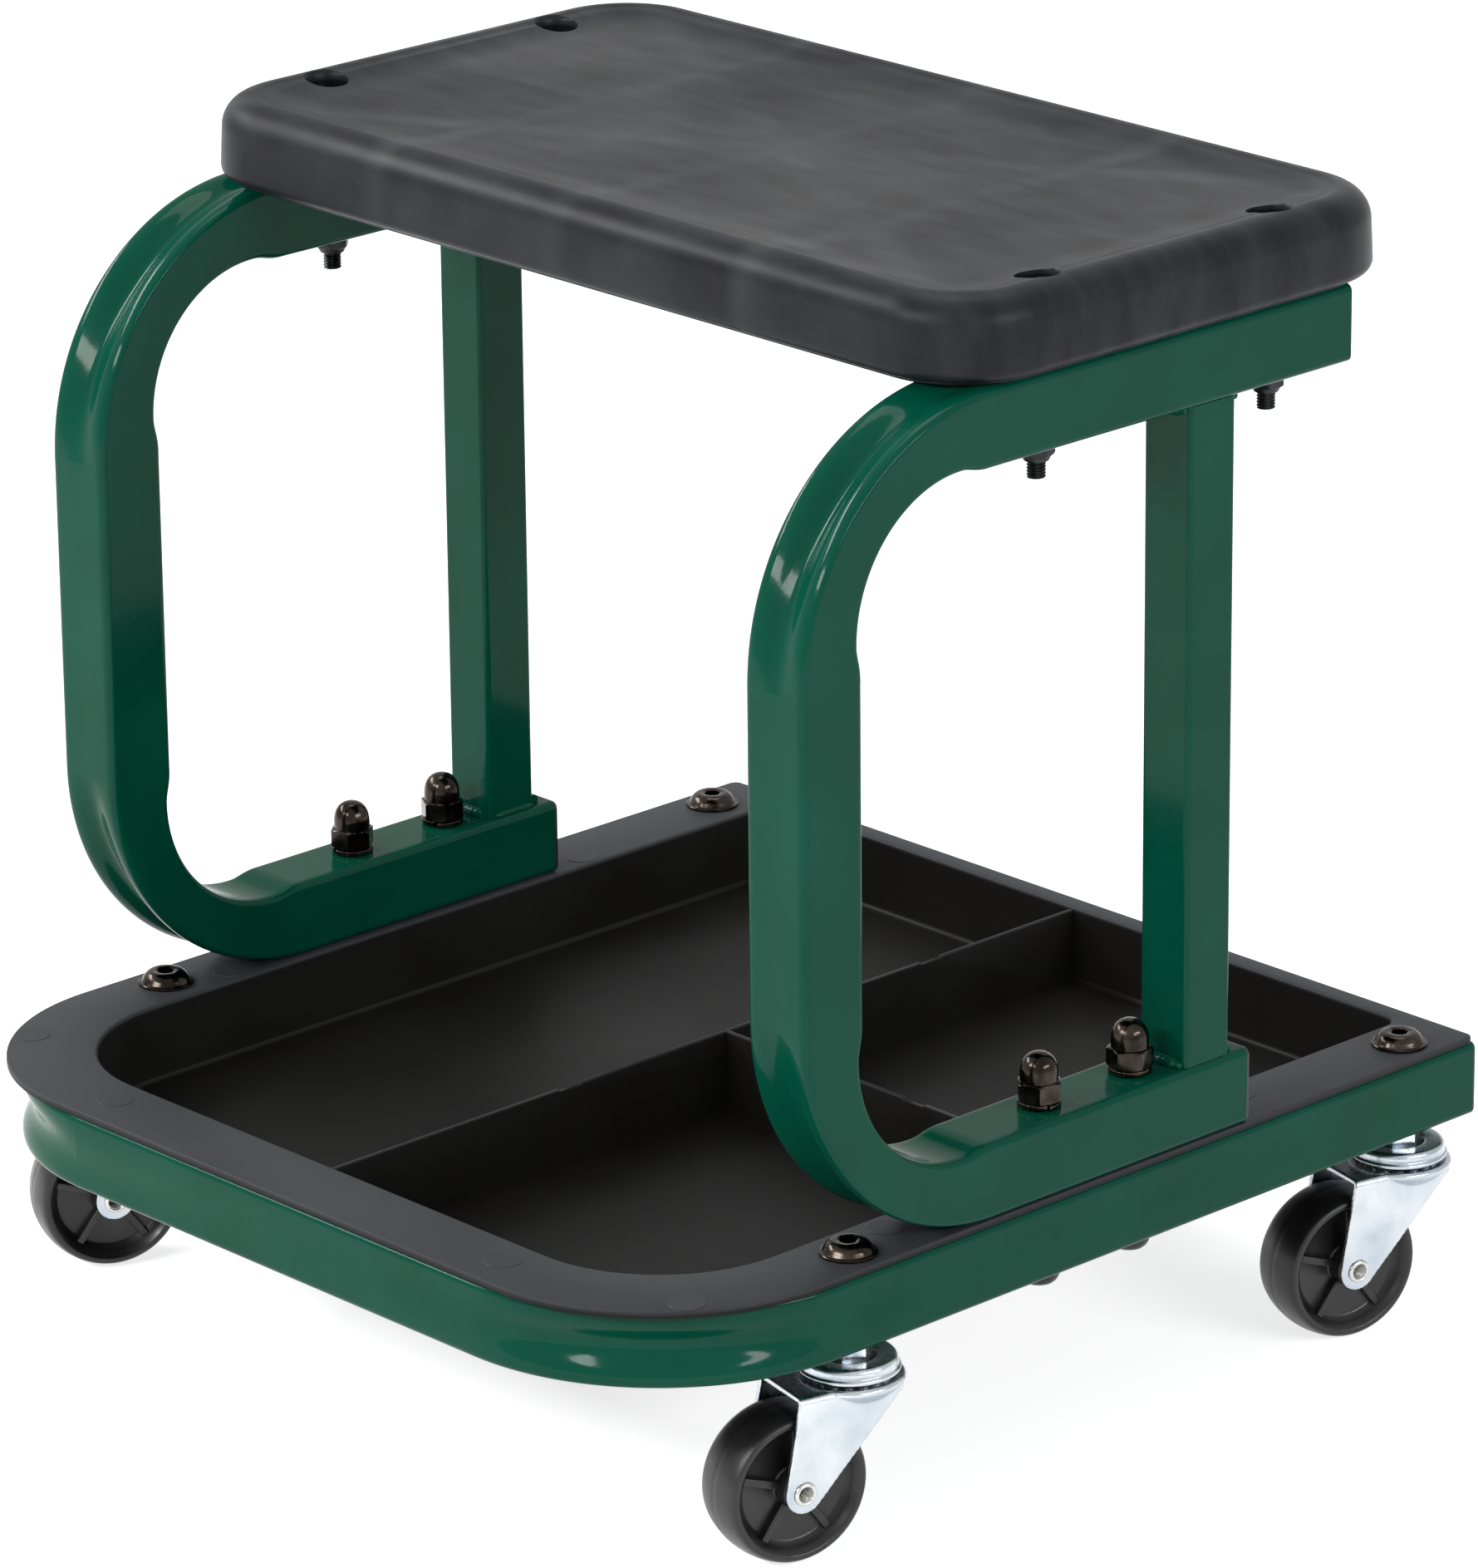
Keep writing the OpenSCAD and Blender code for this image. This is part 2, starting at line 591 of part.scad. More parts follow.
// Seat: shell, dish, hollow underside with a resting ring, ribs and four wells for the bolts
module seat() color([0.2, 0.2, 0.21]) placed() translate([0, seat_y, 0]) difference() {
    roof = seat_z + seat_h - dish_depth - seat_wall;
    union() {
        difference() {
            translate([0, 0, seat_z]) profiled_block(seat_l, seat_w, seat_r, 0, seat_h) skirt_profile();
            translate([0, 0, seat_z + seat_h])
                profiled_block(seat_l - 2 * border, seat_w - 2 * border, seat_r - border, -dish_depth, over)
                    dish_profile();
            translate([0, 0, seat_z - over]) linear_extrude(roof - seat_z + over) seat_plan(seat_wall);
        }
        translate([0, 0, frame_top]) linear_extrude(roof - frame_top + seat_wall / 2) difference() {
            seat_plan(ring_inset);
            seat_plan(ring_inset + ring_t);
        }
        translate([0, 0, seat_z + rib_lift]) linear_extrude(roof - seat_z - rib_lift + seat_wall / 2)
            intersection() {
                seat_plan(seat_wall / 2);
                union() {
                    for (x = [-1, 0, 1]) translate([x * rib_pitch, 0]) square([rib_t, seat_w], center = true);
                    for (y = [-1, 1]) translate([0, y * rib_side]) square([seat_l, rib_t], center = true);
                }
            }
        for (x = [-1, 1], y = seat_bolt_ys)
            translate([x * rail_x, y - seat_y, frame_top])
                cylinder(roof - frame_top + seat_wall / 2, well_d / 2 + well_wall, well_d / 2 + well_wall,
                    $fn = mid_fn);
    }
    for (x = [-1, 1], y = seat_bolt_ys) translate([x * rail_x, y - seat_y, 0]) {
        translate([0, 0, well_z]) cylinder(seat_h + ring_h, well_d / 2, well_d / 2, $fn = mid_fn);
        translate([0, 0, frame_top - over])
            cylinder(well_floor + 2 * over, small_d / 2 + hole_gap, small_d / 2 + hole_gap, $fn = small_fn);
    }
}

// Every place of a bolt of one row set, on both sides
module at_bolts(ys, z) placed() {
    for (x = [-1, 1], y = ys) translate([x * rail_x, y, z]) children();
}

module hexagon(width, height) cylinder(height, width * hex_share, width * hex_share, $fn = hex_fn);

module seat_bolts() color([0.13, 0.13, 0.13]) at_bolts(seat_bolt_ys, well_z) {
    hexagon(small_af, small_head_h);
    shank = well_z - upper_z + small_nut_h + small_end;
    translate([0, 0, -shank]) cylinder(shank, small_d / 2, small_d / 2, $fn = small_fn);
}

module seat_nuts() color([0.13, 0.13, 0.13]) at_bolts(seat_bolt_ys, upper_z - small_nut_h) difference() {
    hexagon(small_af, small_nut_h);
    translate([0, 0, -over])
        cylinder(small_nut_h + 2 * over, small_d / 2 + fit_gap, small_d / 2 + fit_gap, $fn = small_fn);
}

// Frame bolts: a round head under the rail and a shank up into the cap nut
module frame_bolts() color([0.13, 0.13, 0.13]) at_bolts(frame_bolt_ys, rail_z) {
    head_r = round_head_d / 2;
    rotate_extrude($fn = mid_fn) intersection() {
        translate([0, -round_head_h]) square([head_r, round_head_h]);
        union() {
            translate([0, round_head_h / 2 - round_head_h]) square([head_r, round_head_h / 2]);
            translate([head_r - round_head_h / 2, -round_head_h / 2]) circle(round_head_h / 2, $fn = mid_fn);
            translate([0, -round_head_h]) square([head_r - round_head_h / 2, round_head_h]);
        }
    }
    cylinder(2 * tube + flange_t + split_t + big_nut_h, big_d / 2, big_d / 2, $fn = mid_fn);
}

module spring_washers() color([0.2, 0.18, 0.16]) at_bolts(frame_bolt_ys, lower_top)
    linear_extrude(split_t) difference() {
        circle(split_d / 2, $fn = mid_fn);
        circle(big_d / 2 + fit_gap, $fn = mid_fn);
        translate([-split_gap / 2, -split_d]) square([split_gap, split_d]);
    }

// Cap nuts: hexagon with a round-shouldered dome, bored from below
module cap_nuts() color([0.2, 0.18, 0.16]) at_bolts(frame_bolt_ys, lower_top + split_t) difference() {
    cap_round = dome_d / 2 * cos(30);
    union() {
        hexagon(big_af, big_nut_h);
        rotate_extrude($fn = mid_fn) {
            square([dome_d / 2, cap_nut_h - cap_round]);
            square([dome_d / 2 - cap_round, cap_nut_h]);
            intersection() {
                translate([dome_d / 2 - cap_round, cap_nut_h - cap_round]) circle(cap_round, $fn = mid_fn);
                square([dome_d / 2, cap_nut_h]);
            }
        }
    }
    translate([0, 0, -over])
        cylinder(big_nut_h + 2 * over, big_d / 2 + fit_gap, big_d / 2 + fit_gap, $fn = mid_fn);
}

// Sleeve nuts: a stepped round head with a socket and a threaded sleeve that reaches into the rail
module sleeve_nuts() color([0.2, 0.18, 0.16]) at_bolts(caster_ys, flange_top) difference() {
    head_r = sleeve_head_d / 2;
    head_round = sleeve_head_h - sleeve_rim_h - fit_gap;
    union() {
        rotate_extrude($fn = mid_fn) {
            square([head_r, sleeve_rim_h]);
            intersection() {
                union() {
                    translate([head_r - sleeve_rim_h - head_round, sleeve_rim_h + fit_gap])
                        circle(head_round, $fn = mid_fn);
                    square([head_r - sleeve_rim_h - head_round, sleeve_head_h]);
                }
                square([head_r, sleeve_head_h]);
            }
        }
        translate([0, 0, -sleeve_l]) cylinder(sleeve_l, sleeve_d / 2, sleeve_d / 2, $fn = mid_fn);
    }
    translate([0, 0, sleeve_head_h - socket_d]) hexagon(socket_af, socket_d + over);
    translate([0, 0, -sleeve_l - over])
        cylinder(sleeve_l + over, big_d / 2 + fit_gap, big_d / 2 + fit_gap, $fn = mid_fn);
}

// Stem of a caster: threaded end, hexagon, king pin through race and crown, foot plate, riveted end
module caster_stem() {
    pin_r = pin_d / 2;
    foot_z = crown_z - run_gap - foot_t;
    translate([0, 0, caster_h]) cylinder(tube, big_d / 2, big_d / 2, $fn = mid_fn);
    translate([0, 0, hex_z]) hexagon(stem_af, caster_h - hex_z);
    translate([0, 0, foot_z]) cylinder(hex_z - foot_z, pin_r, pin_r, $fn = mid_fn);
    translate([0, 0, foot_z]) cylinder(foot_t, foot_d / 2, foot_d / 2, $fn = mid_fn);
    translate([0, 0, foot_z - rivet_end_h]) cylinder(rivet_end_h, pin_r / 2, pin_r, $fn = mid_fn);
}

// Upper race: a pressed ring channel for the balls, its middle sunk under the hexagon, its lip turned out
module caster_race() rotate_extrude($fn = mid_fn) difference() {
    side_r = race_r - race_lip;
    channel_r = side_r - race_t;
    union() {
        translate([0, race_z]) square([race_r, race_t]);
        translate([0, race_z]) square([side_r, race_h - race_round]);
        translate([0, race_z]) square([side_r - race_round, race_h]);
        translate([side_r - race_round, race_top - race_round]) circle(race_round, $fn = small_fn);
    }
    translate([0, race_z - over]) square([channel_r, race_h - race_drop - race_t + over]);
    translate([race_seat_r + race_t, race_z]) square([channel_r - race_seat_r - race_t, race_h - race_t]);
    translate([0, hex_z]) square([race_seat_r, race_drop + over]);
    square([pin_d / 2 + fit_gap, race_top]);
}

// The balls, drawn as one ring
module caster_balls() translate([0, 0, fork_h + run_gap + ball_r]) rotate_extrude($fn = mid_fn)
    translate([ball_ring_r, 0]) circle(ball_r, $fn = small_fn);

// Side outline of the fork, x along the trail and y as the height: straight edges that run tangent into
// the round leg end
module fork_side() {
    crown_x = sqrt(crown_r * crown_r - fork_w * fork_w / 4);
    lead_run = trail + crown_x;
    lead_fall = fork_h - lead_drop - axle_z;
    lead_turn = atan2(lead_fall, lead_run)
        + asin(leg_end_r / sqrt(lead_run * lead_run + lead_fall * lead_fall));
    tail_run = plate_l - trail;
    tail_fall = fork_h - axle_z;
    tail_turn = asin(leg_end_r / sqrt(tail_run * tail_run + tail_fall * tail_fall))
        - atan2(tail_run, tail_fall);
    translate([trail, axle_z]) circle(leg_end_r, $fn = mid_fn);
    polygon([
        [-crown_x, fork_h],
        [-crown_x, fork_h - lead_drop],
        [trail - leg_end_r * sin(lead_turn), axle_z - leg_end_r * cos(lead_turn)],
        [trail + leg_end_r * cos(tail_turn), axle_z + leg_end_r * sin(tail_turn)],
        [plate_l, fork_h]
    ]);
}

// Front section of the fork: top plate and two legs with rounded folds
module fork_section() difference() {
    union() {
        translate([-fork_w / 2, 0]) square([fork_w, fork_h - fold_r]);
        translate([-fork_w / 2 + fold_r, 0]) square([fork_w - 2 * fold_r, fork_h]);
        for (side = [-1, 1])
            translate([side * (fork_w / 2 - fold_r), fork_h - fold_r]) circle(fold_r, $fn = small_fn);
    }
    translate([-fork_in, -over]) square([2 * fork_in, crown_z + over]);
}

// Fork: pressed and folded from one sheet, with a round crown whose skirt runs into the two legs
module caster_fork() difference() {
    reach = trail + leg_end_r + crown_r;
    union() {
        intersection() {
            translate([0, fork_w / 2, 0]) rotate([90, 0, 0]) linear_extrude(fork_w) fork_side();
            translate([-crown_r, 0, 0]) rotate([90, 0, 90]) linear_extrude(reach) fork_section();
        }
        difference() {
            rotate_extrude($fn = big_fn) polygon([
                [0, fork_h],
                [crown_r - sheet / 2, fork_h],
                [crown_r, fork_h - sheet / 2],
                [crown_r, crown_z],
                [crown_foot_r, fork_h - skirt_h],
                [crown_foot_r - sheet, fork_h - skirt_h],
                [crown_r - sheet, crown_z],
                [0, crown_z]
            ]);
            translate([0, -fork_in, 0]) cube([crown_r, 2 * fork_in, crown_z]);
        }
    }
    translate([0, 0, crown_z - over])
        cylinder(sheet + 2 * over, pin_d / 2 + fit_gap, pin_d / 2 + fit_gap, $fn = mid_fn);
    translate([trail, fork_w, axle_z]) rotate([90, 0, 0])
        cylinder(2 * fork_w, rivet_d / 2 + fit_gap, rivet_d / 2 + fit_gap, $fn = mid_fn);
}

// Tubular rivet with both ends flared over the legs
module caster_rivet() translate([trail, 0, axle_z]) rotate([90, 0, 0]) {
    half = fork_w / 2 + flare_h;
    difference() {
        union() {
            translate([0, 0, -half]) cylinder(2 * half, rivet_d / 2, rivet_d / 2, $fn = mid_fn);
            translate([0, 0, -half]) cylinder(flare_h, flare_d / 2 - flare_h / 2, flare_d / 2, $fn = mid_fn);
            translate([0, 0, half - flare_h])
                cylinder(flare_h, flare_d / 2, flare_d / 2 - flare_h / 2, $fn = mid_fn);
        }
        translate([0, 0, -half - over]) cylinder(2 * half + 2 * over, rivet_bore / 2, rivet_bore / 2, $fn = mid_fn);
    }
}

// Half section of the wheel: crowned tread, tapered recess on both sides, hub with a plain bore
module wheel_section() {
    half = wheel_w / 2;
    rim_r = wheel_d / 2 - crown;
    tread_r = (half * half + crown * crown) / (2 * crown);
    web_half = half - recess_d;
    difference() {
        intersection() {
            translate([0, -half]) square([wheel_d / 2, wheel_w]);
            translate([wheel_d / 2 - tread_r, 0]) circle(tread_r, $fn = arc_fn);
        }
        for (flip = [0, 1]) mirror([0, flip]) polygon([
            [0, web_half],
            [recess_r, web_half],
            [rim_r - rim_t, half],
            [rim_r - rim_t, half + over],
            [0, half + over]
        ]);
    }
    translate([0, -half - hub_out]) square([hub_d / 2, wheel_w + 2 * hub_out]);
}

// Wheel: the section turned, with pockets sunk between the ribs on both sides
module caster_wheel() translate([trail, 0, axle_z]) rotate([90, 0, 0]) difference() {
    web_half = wheel_w / 2 - recess_d;
    rotate_extrude($fn = big_fn) wheel_section();
    for (flip = [0, 1]) mirror([0, 0, flip])
        translate([0, 0, web_half - pocket_d]) linear_extrude(pocket_d + over) difference() {
            circle(recess_r - rim_t, $fn = mid_fn);
            circle(hub_d / 2, $fn = mid_fn);
            for (k = [0 : spokes - 1]) rotate(k * 360 / spokes + spoke_turn)
                translate([0, -spoke_t / 2]) square([recess_r, spoke_t]);
        }
    cylinder(2 * wheel_w, rivet_d / 2 + fit_gap, rivet_d / 2 + fit_gap, center = true, $fn = mid_fn);
}

// Place of a caster: its swivel axis, and its heading for the pieces that swivel
module at_caster(side, row, turn = 0) placed() translate([side * rail_x, caster_ys[row], 0])
    rotate([0, 0, -90 - turn]) children();

module stem_front_right() color([0.7, 0.74, 0.8]) at_caster(1, 0) caster_stem();
module race_front_right() color([0.6, 0.65, 0.72]) at_caster(1, 0) caster_race();
module balls_front_right() color([0.8, 0.8, 0.5]) at_caster(1, 0) caster_balls();
module fork_front_right() color([0.72, 0.77, 0.85]) at_caster(1, 0, turn_front_right) caster_fork();
module rivet_front_right() color([0.8, 0.8, 0.8]) at_caster(1, 0, turn_front_right) caster_rivet();
module wheel_front_right() color([0.1, 0.1, 0.1]) at_caster(1, 0, turn_front_right) caster_wheel();

module stem_front_left() color([0.7, 0.74, 0.8]) at_caster(-1, 0) caster_stem();
module race_front_left() color([0.6, 0.65, 0.72]) at_caster(-1, 0) caster_race();
module balls_front_left() color([0.8, 0.8, 0.5]) at_caster(-1, 0) caster_balls();
module fork_front_left() color([0.72, 0.77, 0.85]) at_caster(-1, 0, turn_front_left) caster_fork();
module rivet_front_left() color([0.8, 0.8, 0.8]) at_caster(-1, 0, turn_front_left) caster_rivet();
module wheel_front_left() color([0.1, 0.1, 0.1]) at_caster(-1, 0, turn_front_left) caster_wheel();

module stem_rear_right() color([0.7, 0.74, 0.8]) at_caster(1, 1) caster_stem();
module race_rear_right() color([0.6, 0.65, 0.72]) at_caster(1, 1) caster_race();
module balls_rear_right() color([0.8, 0.8, 0.5]) at_caster(1, 1) caster_balls();
module fork_rear_right() color([0.72, 0.77, 0.85]) at_caster(1, 1, turn_rear_right) caster_fork();
module rivet_rear_right() color([0.8, 0.8, 0.8]) at_caster(1, 1, turn_rear_right) caster_rivet();
module wheel_rear_right() color([0.1, 0.1, 0.1]) at_caster(1, 1, turn_rear_right) caster_wheel();

module stem_rear_left() color([0.7, 0.74, 0.8]) at_caster(-1, 1) caster_stem();
module race_rear_left() color([0.6, 0.65, 0.72]) at_caster(-1, 1) caster_race();
module balls_rear_left() color([0.8, 0.8, 0.5]) at_caster(-1, 1) caster_balls();
module fork_rear_left() color([0.72, 0.77, 0.85]) at_caster(-1, 1, turn_rear_left) caster_fork();
module rivet_rear_left() color([0.8, 0.8, 0.8]) at_caster(-1, 1, turn_rear_left) caster_rivet();
module wheel_rear_left() color([0.1, 0.1, 0.1]) at_caster(-1, 1, turn_rear_left) caster_wheel();

base_frame();
back_bar();
rail_plugs();
tray();
side_frame_right();
side_frame_left();
post_right();
post_left();
weld_beads();
leg_plugs();
seat();
seat_bolts();
seat_nuts();
frame_bolts();
spring_washers();
cap_nuts();
sleeve_nuts();
stem_front_right();
race_front_right();
balls_front_right();
fork_front_right();
rivet_front_right();
wheel_front_right();
stem_front_left();
race_front_left();
balls_front_left();
fork_front_left();
rivet_front_left();
wheel_front_left();
stem_rear_right();
race_rear_right();
balls_rear_right();
fork_rear_right();
rivet_rear_right();
wheel_rear_right();
stem_rear_left();
race_rear_left();
balls_rear_left();
fork_rear_left();
rivet_rear_left();
wheel_rear_left();
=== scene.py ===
import json
import math

import bmesh
import bpy
from mathutils import Matrix, Vector, noise


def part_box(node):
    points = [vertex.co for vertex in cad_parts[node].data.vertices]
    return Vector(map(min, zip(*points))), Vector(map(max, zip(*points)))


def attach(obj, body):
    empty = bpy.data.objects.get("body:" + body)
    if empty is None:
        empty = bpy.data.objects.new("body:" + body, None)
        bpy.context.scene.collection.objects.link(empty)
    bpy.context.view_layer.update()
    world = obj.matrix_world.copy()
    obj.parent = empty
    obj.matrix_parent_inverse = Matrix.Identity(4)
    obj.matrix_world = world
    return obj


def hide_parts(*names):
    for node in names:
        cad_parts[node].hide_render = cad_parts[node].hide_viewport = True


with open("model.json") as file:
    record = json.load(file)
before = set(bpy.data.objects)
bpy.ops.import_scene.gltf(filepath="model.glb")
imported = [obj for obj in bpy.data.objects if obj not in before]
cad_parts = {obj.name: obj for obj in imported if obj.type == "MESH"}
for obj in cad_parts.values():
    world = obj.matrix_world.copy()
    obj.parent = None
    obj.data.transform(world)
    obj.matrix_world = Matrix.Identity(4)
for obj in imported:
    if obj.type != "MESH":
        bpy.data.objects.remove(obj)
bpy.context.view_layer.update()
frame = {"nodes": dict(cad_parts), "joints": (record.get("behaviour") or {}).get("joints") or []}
MM = 0.001

# The studio. A long lens looks down on the front right corner of the seat, which stands on a pale floor
# under one broad overhead light, with narrow ones in front and at both sides.
photo_height = 1887
focal_pixels = 10028
sensor_size = 36
camera_place = (1.83839, -1.69920, 1.06913)
camera_angles = (70.452, 0.552, 46.643)
camera_data = bpy.data.cameras.new("studio_camera")
camera_data.sensor_width = sensor_size
camera_data.lens = focal_pixels * sensor_size / photo_height
camera_data.clip_end = 50
camera = bpy.data.objects.new("studio_camera", camera_data)
camera.location = camera_place
camera.rotation_euler = [math.radians(angle) for angle in camera_angles]
bpy.context.scene.collection.objects.link(camera)
bpy.context.scene.camera = camera
bpy.context.scene.view_settings.view_transform = "Standard"

world = bpy.data.worlds.new("studio_room")
world.use_nodes = True
bpy.context.scene.world = world
room = world.node_tree.nodes
links = world.node_tree.links
room.clear()
room_light = room.new("ShaderNodeBackground")
room_light.inputs["Color"].default_value = (0.93, 0.96, 1, 1)
room_light.inputs["Strength"].default_value = 0.25
room_white = room.new("ShaderNodeBackground")
room_white.inputs["Strength"].default_value = 1
room_mix = room.new("ShaderNodeMixShader")
room_out = room.new("ShaderNodeOutputWorld")


def seen_rays(nodes, links):
    """1 for the rays that look at the background, straight or by way of metal or glass."""
    path = nodes.new("ShaderNodeLightPath")
    seen = path.outputs["Is Camera Ray"]
    for kind in ("Is Glossy Ray", "Is Transmission Ray"):
        either = nodes.new("ShaderNodeMath")
        either.operation = "MAXIMUM"
        links.new(seen, either.inputs[0])
        links.new(path.outputs[kind], either.inputs[1])
        seen = either.outputs[0]
    return seen


links.new(seen_rays(room, links), room_mix.inputs[0])
links.new(room_light.outputs[0], room_mix.inputs[1])
links.new(room_white.outputs[0], room_mix.inputs[2])
links.new(room_mix.outputs[0], room_out.inputs["Surface"])

light_target = Vector((0, 0, 0.2))


def softbox(name, place, width, height, power):
    """A rectangular lamp that faces the middle of the seat."""
    lamp = bpy.data.lights.new(name, "AREA")
    lamp.shape = "RECTANGLE"
    lamp.size = width
    lamp.size_y = height
    lamp.energy = power
    box = bpy.data.objects.new(name, lamp)
    box.location = place
    box.rotation_euler = (light_target - Vector(place)).to_track_quat("-Z", "Y").to_euler()
    bpy.context.scene.collection.objects.link(box)


softbox("overhead_light", (-0.3, 0.4, 2.2), width=1.2, height=0.8, power=10)
softbox("front_strip", (-0.07, -1.99, 1.35), width=1.4, height=0.3, power=30)
softbox("right_strip", (2.12, 0.19, 1.06), width=1.4, height=0.25, power=20)
softbox("left_strip", (-1.7, -0.76, 1.4), width=1.4, height=0.3, power=25)

floor_half = 14
floor_grey = 0.82
floor_seen = 0.76
floor_mesh = bmesh.new()
bmesh.ops.create_grid(floor_mesh, x_segments=1, y_segments=1, size=floor_half)
floor_data = bpy.data.meshes.new("studio_floor")
floor_mesh.to_mesh(floor_data)
floor_mesh.free()
floor = bpy.data.objects.new("studio_floor", floor_data)
bpy.context.scene.collection.objects.link(floor)
floor_paint = bpy.data.materials.new("studio_floor")
floor_paint.use_nodes = True
floor_nodes = floor_paint.node_tree.nodes
links = floor_paint.node_tree.links
floor_nodes.clear()
floor_matt = floor_nodes.new("ShaderNodeBsdfDiffuse")
floor_matt.inputs["Color"].default_value = (floor_grey, floor_grey, floor_grey, 1)
floor_glow = floor_nodes.new("ShaderNodeEmission")
floor_level = floor_nodes.new("ShaderNodeMath")
floor_level.operation = "MULTIPLY"
floor_level.inputs[1].default_value = floor_seen
floor_sum = floor_nodes.new("ShaderNodeAddShader")
floor_out = floor_nodes.new("ShaderNodeOutputMaterial")
links.new(seen_rays(floor_nodes, links), floor_level.inputs[0])
links.new(floor_level.outputs[0], floor_glow.inputs["Strength"])
links.new(floor_matt.outputs[0], floor_sum.inputs[0])
links.new(floor_glow.outputs[0], floor_sum.inputs[1])
links.new(floor_sum.outputs[0], floor_out.inputs["Surface"])
floor_data.materials.append(floor_paint)


# The base. A square steel tube is bent into a U whose bends are pressed in at the inner wall and hollow
# at the outer one, then sprayed dark green. The paint is glossy with a fine orange peel.
def grey(level):
    return (level, level, level)


class Finish:
    """A material for a slot of the part: one shader, and patterns on the object's own coordinates."""

    def __init__(self, name, slot, colour, metal, rough):
        self.slot = slot
        self.material = bpy.data.materials.new(name)
        self.material.use_nodes = True
        self.nodes = self.material.node_tree.nodes
        self.links = self.material.node_tree.links
        self.sockets = self.nodes["Principled BSDF"].inputs
        self.sockets["Base Color"].default_value = (*colour, 1)
        self.sockets["Metallic"].default_value = metal
        self.sockets["Roughness"].default_value = rough
        self.place = self.nodes.new("ShaderNodeTexCoord").outputs["Object"]

    def speckle(self, per_metre, detail=2, stretch=(1, 1, 1)):
        """Noise of so many grains per metre."""
        turn = self.nodes.new("ShaderNodeMapping")
        turn.inputs["Scale"].default_value = stretch
        grain = self.nodes.new("ShaderNodeTexNoise")
        grain.inputs["Scale"].default_value = per_metre
        grain.inputs["Detail"].default_value = detail
        self.links.new(self.place, turn.inputs["Vector"])
        self.links.new(turn.outputs["Vector"], grain.inputs["Vector"])
        return grain.outputs["Fac"]

    def spread(self, value, low, high, dark, light):
        """A ramp from dark to light between two levels of a value."""
        ramp = self.nodes.new("ShaderNodeValToRGB")
        ramp.color_ramp.elements[0].position = low
        ramp.color_ramp.elements[1].position = high
        ramp.color_ramp.elements[0].color = (*dark, 1)
        ramp.color_ramp.elements[1].color = (*light, 1)
        self.links.new(value, ramp.inputs["Fac"])
        return ramp.outputs["Color"]

    def tones(self, value, low, high, dark, light):
        """Colours the finish by a ramp over a value."""
        self.links.new(self.spread(value, low, high, dark, light), self.sockets["Base Color"])

    def roughness(self, value, low, high, smooth, rough):
        """Sets how rough the finish is by a ramp over a value."""
        self.links.new(self.spread(value, low, high, grey(smooth), grey(rough)), self.sockets["Roughness"])

    def relief(self, *heights):
        """Bumps of (value, depth in metres), one on top of the other."""
        normal = None
        for value, depth in heights:
            bump = self.nodes.new("ShaderNodeBump")
            bump.inputs["Strength"].default_value = 1
            bump.inputs["Distance"].default_value = depth
            self.links.new(value, bump.inputs["Height"])
            if normal:
                self.links.new(normal, bump.inputs["Normal"])
            normal = bump.outputs["Normal"]
        self.links.new(normal, self.sockets["Normal"])


green_paint = Finish("green_paint", "green_paint", (0, 0.085, 0.044), 0, 0.25)
green_paint.sockets["Specular IOR Level"].default_value = 0.03
green_paint.sockets["Coat Weight"].default_value = 0.17
green_paint.sockets["Coat Roughness"].default_value = 0.08
peel = green_paint.speckle(420)
cloud = green_paint.speckle(28, 4)
green_paint.tones(cloud, 0.35, 0.7, (0, 0.066, 0.037), (0.001, 0.078, 0.045))
green_paint.roughness(cloud, 0.3, 0.75, 0.13, 0.2)
green_paint.relief((peel, 0.06 * MM))


def of_kind(items, kind):
    """The vertices, edges or faces among what an operator gives back."""
    return [item for item in items if isinstance(item, kind)]


def verts_of(edges):
    return list({vert for edge in edges for vert in edge.verts})


def edges_at(verts):
    return list({edge for vert in verts for edge in vert.link_edges})


def faces_at(verts):
    return list({face for vert in verts for face in vert.link_faces})


def next_ring(bm, ring):
    """Extrudes a loop of edges and gives the new loop."""
    made = bmesh.ops.extrude_edge_only(bm, edges=ring)["geom"]
    fresh = set(of_kind(made, bmesh.types.BMVert))
    return [edge for edge in of_kind(made, bmesh.types.BMEdge) if set(edge.verts) <= fresh]


def rounded(bm, geom, radius, segments, affect="EDGES"):
    """Rounds edges, or the corners of a face, and gives the vertices that this makes."""
    return bmesh.ops.bevel(bm, geom=geom, offset=radius, segments=segments, profile=0.5, affect=affect,
        material=-1)["verts"]


def loose_object(name, bm):
    """An object that takes over a bmesh."""
    data = bpy.data.meshes.new(name)
    bm.to_mesh(data)
    bm.free()
    thing = bpy.data.objects.new(name, data)
    bpy.context.scene.collection.objects.link(thing)
    return thing


def keep_piece(name, bm, finish, body, nodes=(), sharp=40):
    """Makes a bmesh a piece that rides on a body and stands for CAD nodes."""
    piece = loose_object(name, bm)
    piece.data.materials.append(finish.material)
    piece.data.shade_smooth()
    piece.data.set_sharp_from_angle(angle=math.radians(sharp))
    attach(piece, body)
    if nodes:
        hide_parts(*nodes)


tube_side = 25 * MM
tube_wall = 1.5 * MM
tube_edge = 2.4 * MM
bend_r = 80 * MM
inner_r = bend_r - tube_side
crease_r = 43.3 * MM
crease_over = 1.6 * MM
crease_shift = inner_r + crease_over - crease_r
crease_run_in = 12 * MM
groove_depth = 4.2 * MM
groove_half = 9.6 * MM
flat_cuts = 21
bend_steps = 84


